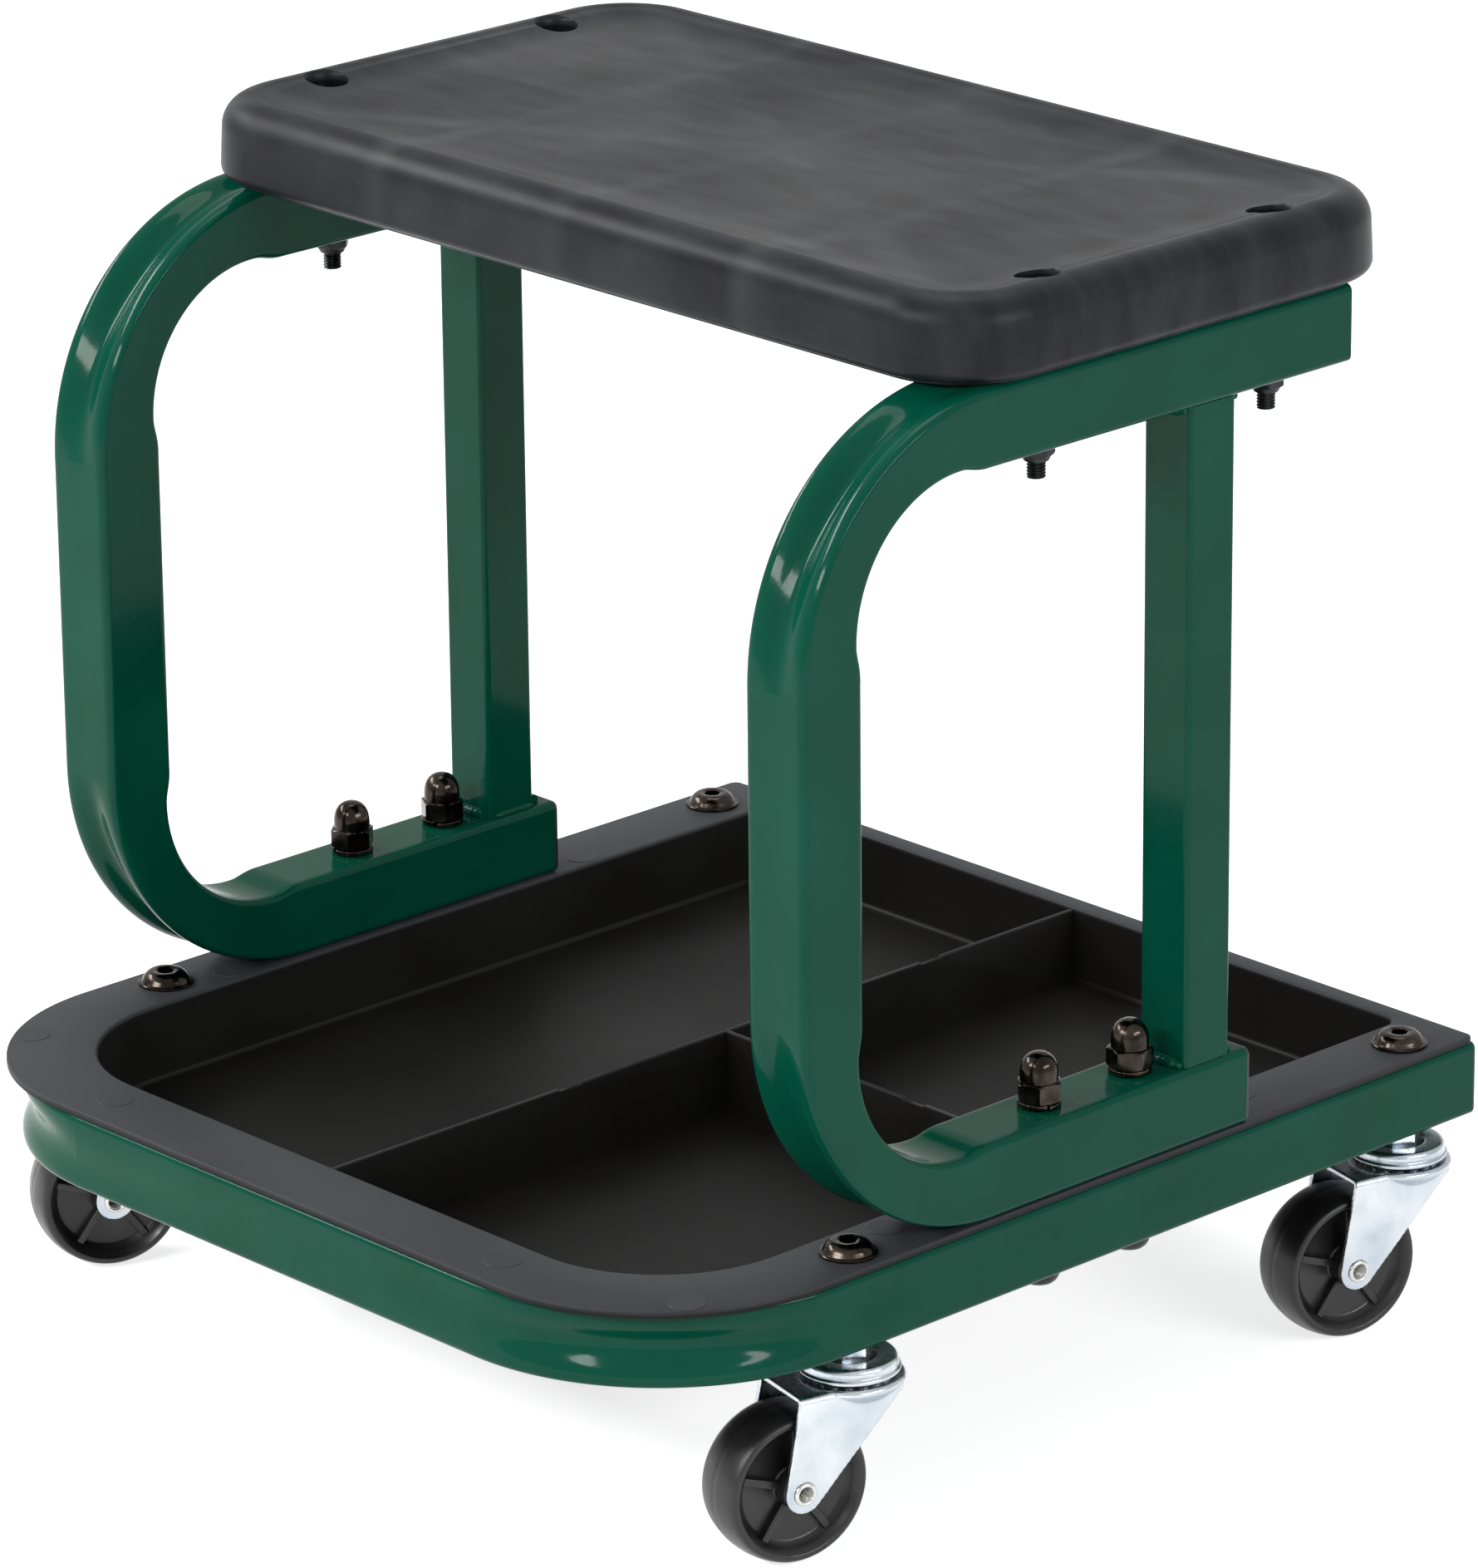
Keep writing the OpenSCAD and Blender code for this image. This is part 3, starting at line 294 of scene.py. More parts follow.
def press_bend(place, span):
    """Moves a point of the round bend to where the pressing and the hollowing leave it."""
    across = abs(place.x) - (span / 2 - bend_r)
    along = bend_r - place.y
    if across <= 0 or along <= 0:
        return
    radius = math.hypot(across, along)
    angle = math.atan2(along, across)
    reach = crease_shift * (math.cos(angle) + math.sin(angle))
    crease = reach + math.sqrt(reach ** 2 - 2 * crease_shift ** 2 + crease_r ** 2)
    ease = min(1, min(across, along) / crease_run_in)
    ease = ease * ease * (3 - 2 * ease)
    outward = min(1, max(0, (radius - inner_r) / tube_side))
    shift = (crease - inner_r) * ease * (1 - outward)
    if abs(place.z) < groove_half:
        hollow = math.cos(math.pi / 2 * place.z / groove_half) ** 2
        shift -= groove_depth * math.sin(2 * angle) ** 0.8 * hollow * outward ** 6
    place.x = math.copysign(span / 2 - bend_r + (radius + shift) * math.cos(angle), place.x)
    place.y = bend_r - (radius + shift) * math.sin(angle)


def bent_tube(name, node, span, leg_right, leg_left, place):
    """A U of square tube with its web on X and both legs along +Y, swept from leg end to leg end."""
    tube = bmesh.new()
    start = Matrix.Translation((tube_side / 2 - span / 2, leg_left, 0)) @ Matrix.Rotation(math.pi / 2, 4, "X")
    bmesh.ops.create_circle(tube, cap_ends=True, segments=4, radius=tube_side / math.sqrt(2),
        matrix=start @ Matrix.Rotation(math.pi / 4, 4, "Z"))
    rounded(tube, tube.verts[:], tube_edge, 5, "VERTICES")
    flats = [edge for edge in tube.edges if edge.calc_length() > tube_side / 2]
    bmesh.ops.subdivide_edges(tube, edges=flats, cuts=flat_cuts)
    bmesh.ops.delete(tube, geom=tube.faces[:], context="FACES_ONLY")
    ring = tube.edges[:]
    left_leg = (0, bend_r - leg_left, 0)
    web = (span - 2 * bend_r, 0, 0)
    right_leg = (0, leg_right - bend_r, 0)
    for shift, side in ((left_leg, -1), (web, 1), (right_leg, None)):
        ring = next_ring(tube, ring)
        bmesh.ops.translate(tube, verts=verts_of(ring), vec=shift)
        if side:
            centre = (side * (span / 2 - bend_r), bend_r, 0)
            last = bmesh.ops.spin(tube, geom=ring, cent=centre, axis=(0, 0, 1), angle=math.pi / 2,
                steps=bend_steps)["geom_last"]
            ring = of_kind(last, bmesh.types.BMEdge)
    bmesh.ops.remove_doubles(tube, verts=tube.verts, dist=0.01 * MM)
    for vert in tube.verts:
        press_bend(vert.co, span)
    bmesh.ops.recalc_face_normals(tube, faces=tube.faces)
    bmesh.ops.solidify(tube, geom=tube.faces[:], thickness=tube_wall)
    bmesh.ops.transform(tube, matrix=place, verts=tube.verts)
    keep_piece(name, tube, green_paint, "frame", [node], 70)


rail_low, rail_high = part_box("base_frame")
base_span = rail_high.x - rail_low.x
middle_x = (rail_low.x + rail_high.x) / 2
rail_x = (base_span - tube_side) / 2
rail_length = rail_high.y - rail_low.y
bent_tube("base_tube", "base_frame", base_span, rail_length, rail_length,
    Matrix.Translation((middle_x, rail_low.y, (rail_low.z + rail_high.z) / 2)))

frame["nodes"]["back_bar"].data.materials[0] = green_paint.material

# Plugs. Black moulded caps close the rail ends at the rear and the lower legs of the side frames. Each
# is a flat square with rounded corners and a soft rim.
black_plastic = Finish("black_plastic", "black_plastic", grey(0.009), 0, 0.42)
grain = black_plastic.speckle(1800, 3)
black_plastic.roughness(grain, 0.3, 0.7, 0.36, 0.5)
black_plastic.relief((grain, 0.03 * MM))

rail_plug_t = 1.2 * MM
leg_plug_t = 1.6 * MM


def block(bm, place, size):
    """A block of a size at a place."""
    return bmesh.ops.create_cube(bm, size=1, matrix=place @ Matrix.Diagonal((*size, 1)))["verts"]


def plug_cap(bm, centre, thick):
    """A square cap whose outer face looks towards +Y."""
    made = block(bm, Matrix.Translation(centre), (tube_side, thick, tube_side))
    corners = [edge for edge in edges_at(made) if abs(edge.verts[0].co.y - edge.verts[1].co.y) > thick / 2]
    rounded(bm, corners, tube_edge, 5)
    rim = [edge for edge in bm.edges if all(vert.co.y > centre[1] + thick / 4 for vert in edge.verts)
           and len({round(face.normal.y) for face in edge.link_faces}) > 1]
    rounded(bm, rim, thick * 0.6, 3)


for name, node, thick in (("rail_caps", "rail_plugs", rail_plug_t), ("leg_caps", "leg_plugs", leg_plug_t)):
    low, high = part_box(node)
    plugs = bmesh.new()
    for x in (low.x + tube_side / 2, high.x - tube_side / 2):
        plug_cap(plugs, (x, high.y - thick / 2, (low.z + high.z) / 2), thick)
    bmesh.ops.recalc_face_normals(plugs, faces=plugs.faces)
    keep_piece(name, plugs, black_plastic, "frame", [node], 30)

# The tray. One moulding of black plastic hangs in the base by its flange: a deep tub with rounded front
# corners, one long divider and one cross divider, both with shallow notches in their tops.
tray_low, tray_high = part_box("tray")
tray_plastic = Finish("tray_plastic", "tray_plastic", grey(0.012), 0, 0.46)
tray_plastic.sockets["Specular IOR Level"].default_value = 0.16
grain = tray_plastic.speckle(2600, 3)
haze = tray_plastic.speckle(14, 5)
# The flange on top is painted lighter, a painted reflection of the lamps. The tub below it is painted darker, a
# painted shade of its deep inside. The colour steps from one to the other by height, just under the flange's
# top.
level = tray_plastic.nodes.new("ShaderNodeSeparateXYZ")
raised = tray_plastic.nodes.new("ShaderNodeMapRange")
raised.inputs["From Min"].default_value = tray_high.z - 1.6 * MM
raised.inputs["From Max"].default_value = tray_high.z - 0.2 * MM
flange_painted_sheen = tray_plastic.spread(haze, 0.3, 0.75, (0.034, 0.036, 0.041), (0.05, 0.052, 0.058))
tub_painted_shade = tray_plastic.spread(haze, 0.3, 0.75, (0.0042, 0.0036, 0.0032), (0.0075, 0.0068, 0.0064))
tray_painted_light = tray_plastic.nodes.new("ShaderNodeMix")
tray_painted_light.data_type = "RGBA"
links = tray_plastic.links
links.new(tray_plastic.place, level.inputs["Vector"])
links.new(level.outputs["Z"], raised.inputs["Value"])
links.new(raised.outputs["Result"], tray_painted_light.inputs["Factor"])
links.new(tub_painted_shade, tray_painted_light.inputs["A"])
links.new(flange_painted_sheen, tray_painted_light.inputs["B"])
links.new(tray_painted_light.outputs["Result"], tray_plastic.sockets["Base Color"])
tray_plastic.roughness(haze, 0.3, 0.75, 0.42, 0.54)
tray_plastic.relief((grain, 0.04 * MM))

flange_t = 2.15 * MM
flange_under = tray_high.z - flange_t
flange_half = (tray_high.x - tray_low.x) / 2
flange_r = 68 * MM
flange_rear_r = 3 * MM
tub_inset = 27 * MM
tub_half = base_span / 2 - tub_inset
tub_front = rail_low.y + tub_inset
tub_rear = tray_high.y - 7 * MM
tub_floor = tray_high.z - 26 * MM
tub_wall = 1.6 * MM
tub_r = 48 * MM
tub_rear_r = 6 * MM
divider_t = 1.6 * MM
divider_top = tray_high.z - 0.8 * MM
divider_x = middle_x - 1.5 * MM
divider_y = 14.5 * MM
divider_overlap = 0.5 * MM
divider_root = 1 * MM
notch = 10 * MM
notch_depth = 0.7 * MM
notch_slope = 0.5 * MM


def flat_sheet(bm, place):
    """One face of unit size that a matrix stretches and places."""
    return bmesh.ops.create_grid(bm, x_segments=1, y_segments=1, size=0.5, matrix=place)["verts"]


def plan_face(bm, half_width, front, rear, front_r, rear_r, height):
    """One face with two large round corners at the front and two small ones at the rear."""
    middle = (front + rear) / 2
    size = Matrix.Diagonal((2 * half_width, rear - front, 1, 1))
    made = flat_sheet(bm, Matrix.Translation((middle_x, middle, height)) @ size)
    at_front = [vert for vert in made if vert.co.y < middle]
    at_rear = [vert for vert in made if vert.co.y > middle]
    rounded(bm, at_front, front_r, 24, "VERTICES")
    return rounded(bm, at_rear, rear_r, 6, "VERTICES")[0].link_faces[0]


def flange_face(bm, height):
    return plan_face(bm, flange_half, tray_low.y, tray_high.y, flange_r, flange_rear_r, height)


def tub_face(bm, wall, height):
    return plan_face(bm, tub_half + wall, tub_front - wall, tub_rear + wall, tub_r + wall,
        tub_rear_r + wall, height)


def divider(bm, start, end, notches):
    """A thin wall on the tub's floor from start to end, with notches at shares of its length."""
    run = Vector(end) - Vector(start)
    points = [(0, tub_floor - divider_root), (0, divider_top)]
    for share in notches:
        near, far = share * run.length, share * run.length + notch
        points += [(near, divider_top), (near + notch_slope, divider_top - notch_depth)]
        points += [(far - notch_slope, divider_top - notch_depth), (far, divider_top)]
    points += [(run.length, divider_top), (run.length, tub_floor - divider_root)]
    side = run.normalized()
    across = Vector((-side.y, side.x, 0))
    corner = Vector(start) - across * divider_t / 2
    verts = [bm.verts.new(corner + side * along + Vector((0, 0, height))) for along, height in points]
    face = bm.faces.new(verts)
    moved = of_kind(bmesh.ops.extrude_face_region(bm, geom=[face])["geom"], bmesh.types.BMVert)
    bmesh.ops.translate(bm, verts=moved, vec=across * divider_t)
    bmesh.ops.recalc_face_normals(bm, faces=faces_at(moved + verts))
    tops = [edge for edge in edges_at(moved + verts)
            if min(vert.co.z for vert in edge.verts) > (tub_floor + divider_top) / 2
            and len(edge.link_faces) == 2
            and abs((edge.verts[0].co - edge.verts[1].co).normalized().dot(across)) < 0.5]
    rounded(bm, tops, 0.4 * MM, 2)


tub = bmesh.new()
flange_top = flange_face(tub, tray_high.z)
flange_low = flange_face(tub, flange_under)
mouth = tub_face(tub, 0, tray_high.z)
bed = tub_face(tub, 0, tub_floor)
neck = tub_face(tub, tub_wall, flange_under)
keel = tub_face(tub, tub_wall, tray_low.z)
top_rim, low_rim, mouth_rim, bed_rim, neck_rim, keel_rim = [
    face.edges[:] for face in (flange_top, flange_low, mouth, bed, neck, keel)]
bmesh.ops.delete(tub, geom=[flange_top, flange_low, mouth, neck], context="FACES_ONLY")
for first, second in ((mouth_rim, top_rim), (low_rim, neck_rim), (top_rim, low_rim), (bed_rim, mouth_rim),
                      (neck_rim, keel_rim)):
    bmesh.ops.bridge_loops(tub, edges=first + second)
bmesh.ops.recalc_face_normals(tub, faces=tub.faces)
for rim, radius, steps in ((mouth_rim, 1.1, 4), (bed_rim, 1.8, 4), (keel_rim, 1.6, 3), (top_rim, 0.5, 3)):
    rounded(tub, rim, radius * MM, steps)
divider(tub, (divider_x, tub_front - divider_overlap, 0), (divider_x, tub_rear + divider_overlap, 0),
    notches=(0.29, 0.78))
divider(tub, (divider_x, divider_y, 0), (middle_x + tub_half + divider_overlap, divider_y, 0), notches=(0.55,))
keep_piece("parts_tray", tub, tray_plastic, "frame", ["tray"], 50)

# Ejector marks. The pins that push the tray out of its mould leave low round pads on top of the flange,
# in pairs to the left and right.
ejector_r = 6 * MM
ejector_height = 0.22 * MM
ejector_sunk = 0.02 * MM
ejector_taper = 0.96
marks = bmesh.new()
for ejector_x, ejector_y in ((92, -166), (155, -149), (154.5, -66), (154, 90)):
    for side in (-1, 1):
        centre = (middle_x + side * ejector_x * MM, ejector_y * MM, tray_high.z - ejector_sunk)
        spot = Matrix.Translation(centre)
        disc = bmesh.ops.create_circle(marks, cap_ends=True, segments=40, radius=ejector_r, matrix=spot)
        pad = bmesh.ops.extrude_face_region(marks, geom=[disc["verts"][0].link_faces[0]])["geom"]
        top = of_kind(pad, bmesh.types.BMVert)
        bmesh.ops.translate(marks, verts=top, vec=(0, 0, ejector_height))
        bmesh.ops.scale(marks, verts=top, vec=(ejector_taper, ejector_taper, 1), space=spot.inverted())
bmesh.ops.recalc_face_normals(marks, faces=marks.faces)
keep_piece("ejector_marks", marks, tray_plastic, "frame")

# Sleeve nuts. A thin flat head with a step and a hexagon socket lies on the tray's flange over each
# caster. They are plated in black nickel, dark and glossy with a brown sheen.
black_nickel = Finish("black_nickel", "black_nickel", (0.06, 0.048, 0.04), 1, 0.2)
stain = black_nickel.speckle(160, 4)
black_nickel.tones(stain, 0.35, 0.7, (0.022, 0.0175, 0.0145), (0.062, 0.05, 0.042))
black_nickel.roughness(stain, 0.3, 0.75, 0.12, 0.26)
black_nickel.relief((black_nickel.speckle(1300), 0.03 * MM))


def in_mm(pairs):
    return [(reach * MM, height * MM) for reach, height in pairs]


def close_shell(bm, first, last, verts, joined):
    """Joins the two end loops of a shell, or fills each of them, and turns its faces outwards."""
    if joined:
        bmesh.ops.bridge_loops(bm, edges=first + last)
    else:
        bmesh.ops.edgeloop_fill(bm, edges=first)
        bmesh.ops.edgeloop_fill(bm, edges=last)
    bmesh.ops.recalc_face_normals(bm, faces=faces_at(verts))


def turned(bm, rings, place, steps=48, joined=False):
    """A surface round Z through rings of (reach, height), where a reach can be a function of the angle."""
    made = bmesh.ops.create_circle(bm, cap_ends=False, segments=steps, radius=1)["verts"]
    first = loop = edges_at(made)
    verts = []
    for reach, height in rings:
        if verts:
            loop = next_ring(bm, loop)
        ring = verts_of(loop)
        for vert in ring:
            angle = math.atan2(vert.co.y, vert.co.x)
            out = max(reach(angle) if callable(reach) else reach, 0.01 * MM)
            vert.co = (out * math.cos(angle), out * math.sin(angle), height)
        verts += ring
    close_shell(bm, first, loop, verts, joined)
    bmesh.ops.transform(bm, matrix=place, verts=verts)


def hexagon(flats, limit=math.inf):
    """Reach of a hexagon by its width over the flats, cut off at a round limit."""
    return lambda angle: min(flats / 2 / math.cos(angle % (math.pi / 3) - math.pi / 6), limit)


nut_r = 9.1 * MM
nut_head = 4.4 * MM
socket_flats = 5 * MM
nut_rings = in_mm([
    (4.05, -13), (5.2, -13), (5.2, 0), (8.85, 0), (9.1, 0.2), (9.1, 0.8), (8.9, 1), (8.1, 1.06), (7.9, 1.3),
    (7.5, 2.3), (6.7, 3.4), (5.7, 4.15), (5.0, 4.4), (3.3, 4.4)])
nut_rings += [(hexagon(socket_flats), 4.1 * MM), (hexagon(socket_flats), 1.8 * MM)]
low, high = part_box("sleeve_nuts")
nuts = bmesh.new()
for x in (low.x + nut_r, high.x - nut_r):
    for y in (low.y + nut_r, high.y - nut_r):
        turned(nuts, nut_rings, Matrix.Translation((x, y, high.z - nut_head)))
keep_piece("sleeve_nut_heads", nuts, black_nickel, "frame", ["sleeve_nuts"], 35)

# Casters. Four swivel casters hang below the rails. A threaded stem with a hexagon carries a pressed race
# over loose balls and a folded fork, all bright zinc, and a tubular rivet carries a black plastic wheel.
bright_zinc = Finish("bright_zinc", "zinc", (0.6, 0.65, 0.7), 1, 0.26)
tint = bright_zinc.speckle(60, 3)
smear = bright_zinc.speckle(420, 4, (1, 1, 0.25))
bright_zinc.tones(tint, 0.3, 0.72, (0.44, 0.5, 0.56), (0.67, 0.69, 0.71))
bright_zinc.roughness(smear, 0.3, 0.75, 0.17, 0.36)
bright_zinc.relief((bright_zinc.speckle(900), 0.03 * MM))

ball_steel = Finish("ball_steel", "ball_steel", (0.58, 0.57, 0.55), 1, 0.12)
grease = ball_steel.speckle(500, 3)
ball_steel.roughness(grease, 0.35, 0.7, 0.08, 0.3)

rivet_steel = Finish("rivet_steel", "rivet_steel", (0.62, 0.62, 0.6), 1, 0.22)
press = rivet_steel.speckle(1500, 3)
rivet_steel.roughness(press, 0.3, 0.7, 0.14, 0.34)
rivet_steel.relief((press, 0.03 * MM))

wheel_plastic = Finish("wheel_plastic", "wheel_plastic", (0.0085, 0.0078, 0.0078), 0, 0.34)
flow = wheel_plastic.speckle(90, 4)
wheel_plastic.tones(flow, 0.3, 0.72, (0.007, 0.0064, 0.0064), (0.013, 0.012, 0.012))
wheel_plastic.roughness(flow, 0.3, 0.75, 0.26, 0.44)
wheel_plastic.relief((wheel_plastic.speckle(1600, 3), 0.03 * MM))

trail = 23 * MM
axle_z = 25 * MM
stem_r = 5 * MM
stem_z = 59.4 * MM
stem_top = 67.2 * MM
stem_flats = 13 * MM
chamfer_start = 0.485
chamfer_slope = 0.577
ball_count = 16
ball_r = 2.05 * MM
ball_ring = 11.5 * MM
ball_z = 58.35 * MM
wheel_ribs = 5
wheel_rib_size = (13.6 * MM, 2.6 * MM, 3 * MM)
wheel_rib_reach = 12.4 * MM
wheel_rib_side = 6 * MM
wheel_rib_start = 18


def chamfered_hex(flats, low, high, both_ends=True):
    """Rings of a hexagon whose corners are turned off to a cone of 30 degrees, on top or at both ends."""
    ring_step, chamfer = (0.16, 0.64) if flats > 11 * MM else (0.13, 0.5)
    depths = [min(step * ring_step, chamfer) * MM for step in range(5)]
    cone = [(hexagon(flats, flats * chamfer_start + depth / chamfer_slope), depth) for depth in depths]
    foot = [(reach, low + depth) for reach, depth in cone] if both_ends else [(hexagon(flats), low)]
    return foot + [(reach, high - depth) for reach, depth in reversed(cone)]


def caster_stem(swivel):
    """The king pin with its foot, the hexagon over the race, and the rod that goes up into the rail."""
    stem = bmesh.new()
    foot = [(2.6, 51.4), (3.2, 51.5), (4.6, 52.3), (5, 52.6), (8.6, 52.6), (9, 52.9), (9, 53.8), (8.7, 54.1),
            (5, 54.1)]
    hexagon_rings = [(stem_r, stem_z)] + chamfered_hex(stem_flats, stem_z, stem_top)
    turned(stem, in_mm(foot) + hexagon_rings + in_mm([(4, 67.2), (4, 92)]), swivel)
    return stem


def pressed_race(swivel):
    """A domed sheet cup with a rolled lip."""
    race = bmesh.new()
    outside = [
        (14.0, 57.2), (15.85, 57.2), (16, 57.4), (16, 58.1), (15.8, 58.35), (15.4, 58.5), (15.2, 58.8),
        (15.2, 60.2), (15.05, 60.85), (14.7, 61.4), (14.1, 61.75), (13.6, 61.8), (9.6, 61.8), (9, 61.7),
        (8.6, 61.3), (8.2, 60.2), (7.7, 59.6), (7.1, 59.4), (5.05, 59.4)]
    inside = [
        (5.05, 58.2), (8.0, 58.2), (8.6, 58.5), (8.9, 59.4), (9.2, 60.5), (9.8, 60.6), (13.2, 60.6),
        (13.8, 60.3), (14, 59.6)]
    turned(race, in_mm(outside + inside), swivel, 72, joined=True)
    return race


def loose_balls(swivel):
    """The ring of balls that the fork swivels on."""
    balls = bmesh.new()
    for index in range(ball_count):
        angle = index * 2 * math.pi / ball_count
        spot = Matrix.Translation((ball_ring * math.cos(angle), ball_ring * math.sin(angle), ball_z))
        bmesh.ops.create_icosphere(balls, subdivisions=3, radius=ball_r, matrix=swivel @ spot)
    return balls


def baked(rough):
    """The bmesh that an object's modifiers leave. The object goes."""
    graph = bpy.context.evaluated_depsgraph_get()
    shape = bmesh.new()
    shape.from_mesh(bpy.data.meshes.new_from_object(rough.evaluated_get(graph)))
    bpy.data.objects.remove(rough)
    return shape


def pressed_fork(corner):
    """The CAD fork with the rounded edges and blends that pressing and folding leave."""
    rough = bpy.data.objects.new("rough_fork", frame["nodes"]["fork_" + corner].data.copy())
    bpy.context.scene.collection.objects.link(rough)
    merge = rough.modifiers.new("merge", "WELD")
    merge.merge_threshold = 0.01 * MM
    skin = rough.modifiers.new("skin", "REMESH")
    skin.mode = "VOXEL"
    skin.voxel_size = 0.36 * MM
    soft = rough.modifiers.new("soft", "SMOOTH")
    soft.factor = 0.6
    soft.iterations = 5
    return baked(rough)


def tube_rivet(across):
    """A tube through fork and wheel whose ends are rolled over."""
    rivet = bmesh.new()
    far_end = [
        (3.2, 12.9), (3.6, 12.92), (3.78, 13.05), (3.75, 13.3), (3.5, 13.6), (3.1, 13.8), (2.75, 13.75),
        (2.5, 13.5)]
    near_end = [(reach, -height) for reach, height in reversed(far_end)]
    turned(rivet, in_mm(near_end + far_end), across, 40, joined=True)
    return rivet


def ribbed_wheel(across):
    """A hub, a recessed web and a crowned tread, with ribs from hub to rim on both sides."""
    wheel = bmesh.new()
    half = [
        (3.25, 10.6), (5.7, 10.6), (6.1, 10.3), (6.3, 9.2), (6.5, 5.6), (7, 5.1), (17.4, 5.1), (18.2, 5.5),
        (19.4, 7.6), (20.8, 9.4), (21.2, 9.8), (21.5, 10.0), (22.4, 10.05), (23, 9.8), (23.5, 9.1),
        (24, 7.6), (24.5, 5.2), (24.85, 2.6), (24.97, 0.5), (24.9, 0.12)]
    other_half = [(reach, -height) for reach, height in reversed(half)]
    turned(wheel, in_mm(half + other_half), across, 96, joined=True)
    for face_side in (-1, 1):
        for index in range(wheel_ribs):
            angle = math.radians(wheel_rib_start + index * 360 / wheel_ribs)
            place = Matrix.Translation((wheel_rib_reach, 0, face_side * wheel_rib_side))
            made = block(wheel, across @ Matrix.Rotation(angle, 4, "Z") @ place, wheel_rib_size)
            rounded(wheel, edges_at(made), 0.45 * MM, 3)
    return wheel


joints = {joint["name"]: joint for joint in frame["joints"]}
for corner in ("front_right", "front_left", "rear_right", "rear_left"):
    pivot = joints["swivel_" + corner]["pos_m"]
    axle = Vector(joints["roll_" + corner]["axis"])
    behind = Vector((axle.y, -axle.x, 0))
    swivel = Matrix.Translation((pivot[0], pivot[1], 0))
    heading = swivel @ Matrix((behind, axle, (0, 0, 1))).transposed().to_4x4()
    across = heading @ Matrix.Translation((trail, 0, axle_z)) @ Matrix.Rotation(math.pi / 2, 4, "X")
    fork = "fork_" + corner
    wheel = "wheel_" + corner
    keep_piece("stem_steel_" + corner, caster_stem(swivel), bright_zinc, "frame", ["stem_" + corner], 35)
    keep_piece("race_cup_" + corner, pressed_race(swivel), bright_zinc, "frame", ["race_" + corner], 50)
    keep_piece("race_balls_" + corner, loose_balls(swivel), ball_steel, "frame", ["balls_" + corner])
    keep_piece("folded_fork_" + corner, pressed_fork(corner), bright_zinc, fork, [fork], 60)
    keep_piece("tube_rivet_" + corner, tube_rivet(across), rivet_steel, fork, ["rivet_" + corner], 50)
    keep_piece("plastic_wheel_" + corner, ribbed_wheel(across), wheel_plastic, wheel, [wheel], 35)

# The side frames. Each is a C of the same tube on its side, bent like the base, bolted to the rail
# through its lower leg and to the seat through its upper one.
for side, hand in ((1, "right"), (-1, "left")):
    low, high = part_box("side_frame_" + hand)
    stand = Matrix.Translation((middle_x + side * rail_x, low.y, (low.z + high.z) / 2))
    lower_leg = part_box("leg_plugs")[1].y - leg_plug_t - low.y
    bent_tube("side_tube_" + hand, "side_frame_" + hand, high.z - low.z, high.y - low.y, lower_leg,
        stand @ Matrix.Rotation(-math.pi / 2, 4, "Y"))

# Posts. A smaller square tube stands between the two legs of each side frame, cut square and welded at
# foot and top. The beads are short, rippled and painted over.
for hand in ("right", "left"):
    frame["nodes"]["post_" + hand].data.materials[0] = green_paint.material

bead_leg = 3 * MM
side_bead_leg = 1.8 * MM
bead_inset = 1.4 * MM
bead_step = 0.45 * MM
ripple_pitch = 2.3 * MM
lumps_per_metre = 260


def weld_bead(bm, start, end, into, up, leg):
    """A rippled bead in the corner between a wall and a flat, from start to end."""
    run = end - start
    out = Vector(into)
    rise = Vector(up)
    centre = start + (out + rise) * leg * 0.3
    turn = Matrix((out, rise, run.normalized())).transposed().to_4x4()
    made = bmesh.ops.create_circle(bm, cap_ends=True, segments=14, radius=leg * 0.72,
        matrix=Matrix.Translation(centre) @ turn)["verts"]
    edges = edges_at(made)
    steps = max(8, round(run.length / bead_step))
    before = 1
    for step in range(1, steps + 1):
        edges = next_ring(bm, edges)
        verts = verts_of(edges)
        bmesh.ops.translate(bm, verts=verts, vec=run / steps)
        centre += run / steps
        share = step / steps
        ripple = 0.03 * math.sin(share * run.length / ripple_pitch * 2 * math.pi)
        lump = 0.12 * noise.noise(centre * lumps_per_metre)
        size = (1 + ripple + lump) * min(1, 3.2 * min(share, 1 - share) + 0.45)
        growth = Vector((1, 1, 1)) * (size / before)
        bmesh.ops.scale(bm, verts=verts, vec=growth, space=Matrix.Translation(-centre))
        before = size
    bmesh.ops.edgeloop_fill(bm, edges=edges)


beads = bmesh.new()
for side, hand in ((1, "right"), (-1, "left")):
    low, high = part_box("post_" + hand)
    inner, outer = (low.x, high.x) if side > 0 else (high.x, low.x)
    near = inner + side * bead_inset
    far = outer - side * bead_inset
    for z, up in ((low.z, 1), (high.z, -1)):
        for y, facing in ((low.y, -1), (high.y, 1)):
            weld_bead(beads, Vector((near, y, z)), Vector((far, y, z)), (0, facing, 0), (0, 0, up), bead_leg)
        weld_bead(beads, Vector((inner, low.y + bead_inset, z)), Vector((inner, high.y - bead_inset, z)),
            (-side, 0, 0), (0, 0, up), side_bead_leg)
bmesh.ops.recalc_face_normals(beads, faces=beads.faces)
keep_piece("post_welds", beads, green_paint, "frame", ["weld_beads"], 60)

# Frame bolts. Two bolts a side come up through rail, flange and leg, their round black heads below the
# rail. A split spring washer and a cap nut in black nickel close each one on top of the leg.
black_zinc = Finish("black_zinc", "black_steel", (0.016, 0.017, 0.019), 0.55, 0.36)
dull = black_zinc.speckle(240, 4)
black_zinc.tones(dull, 0.3, 0.72, (0.011, 0.011, 0.012), (0.028, 0.029, 0.032))
black_zinc.roughness(dull, 0.3, 0.75, 0.28, 0.48)
black_zinc.relief((black_zinc.speckle(1500), 0.03 * MM))

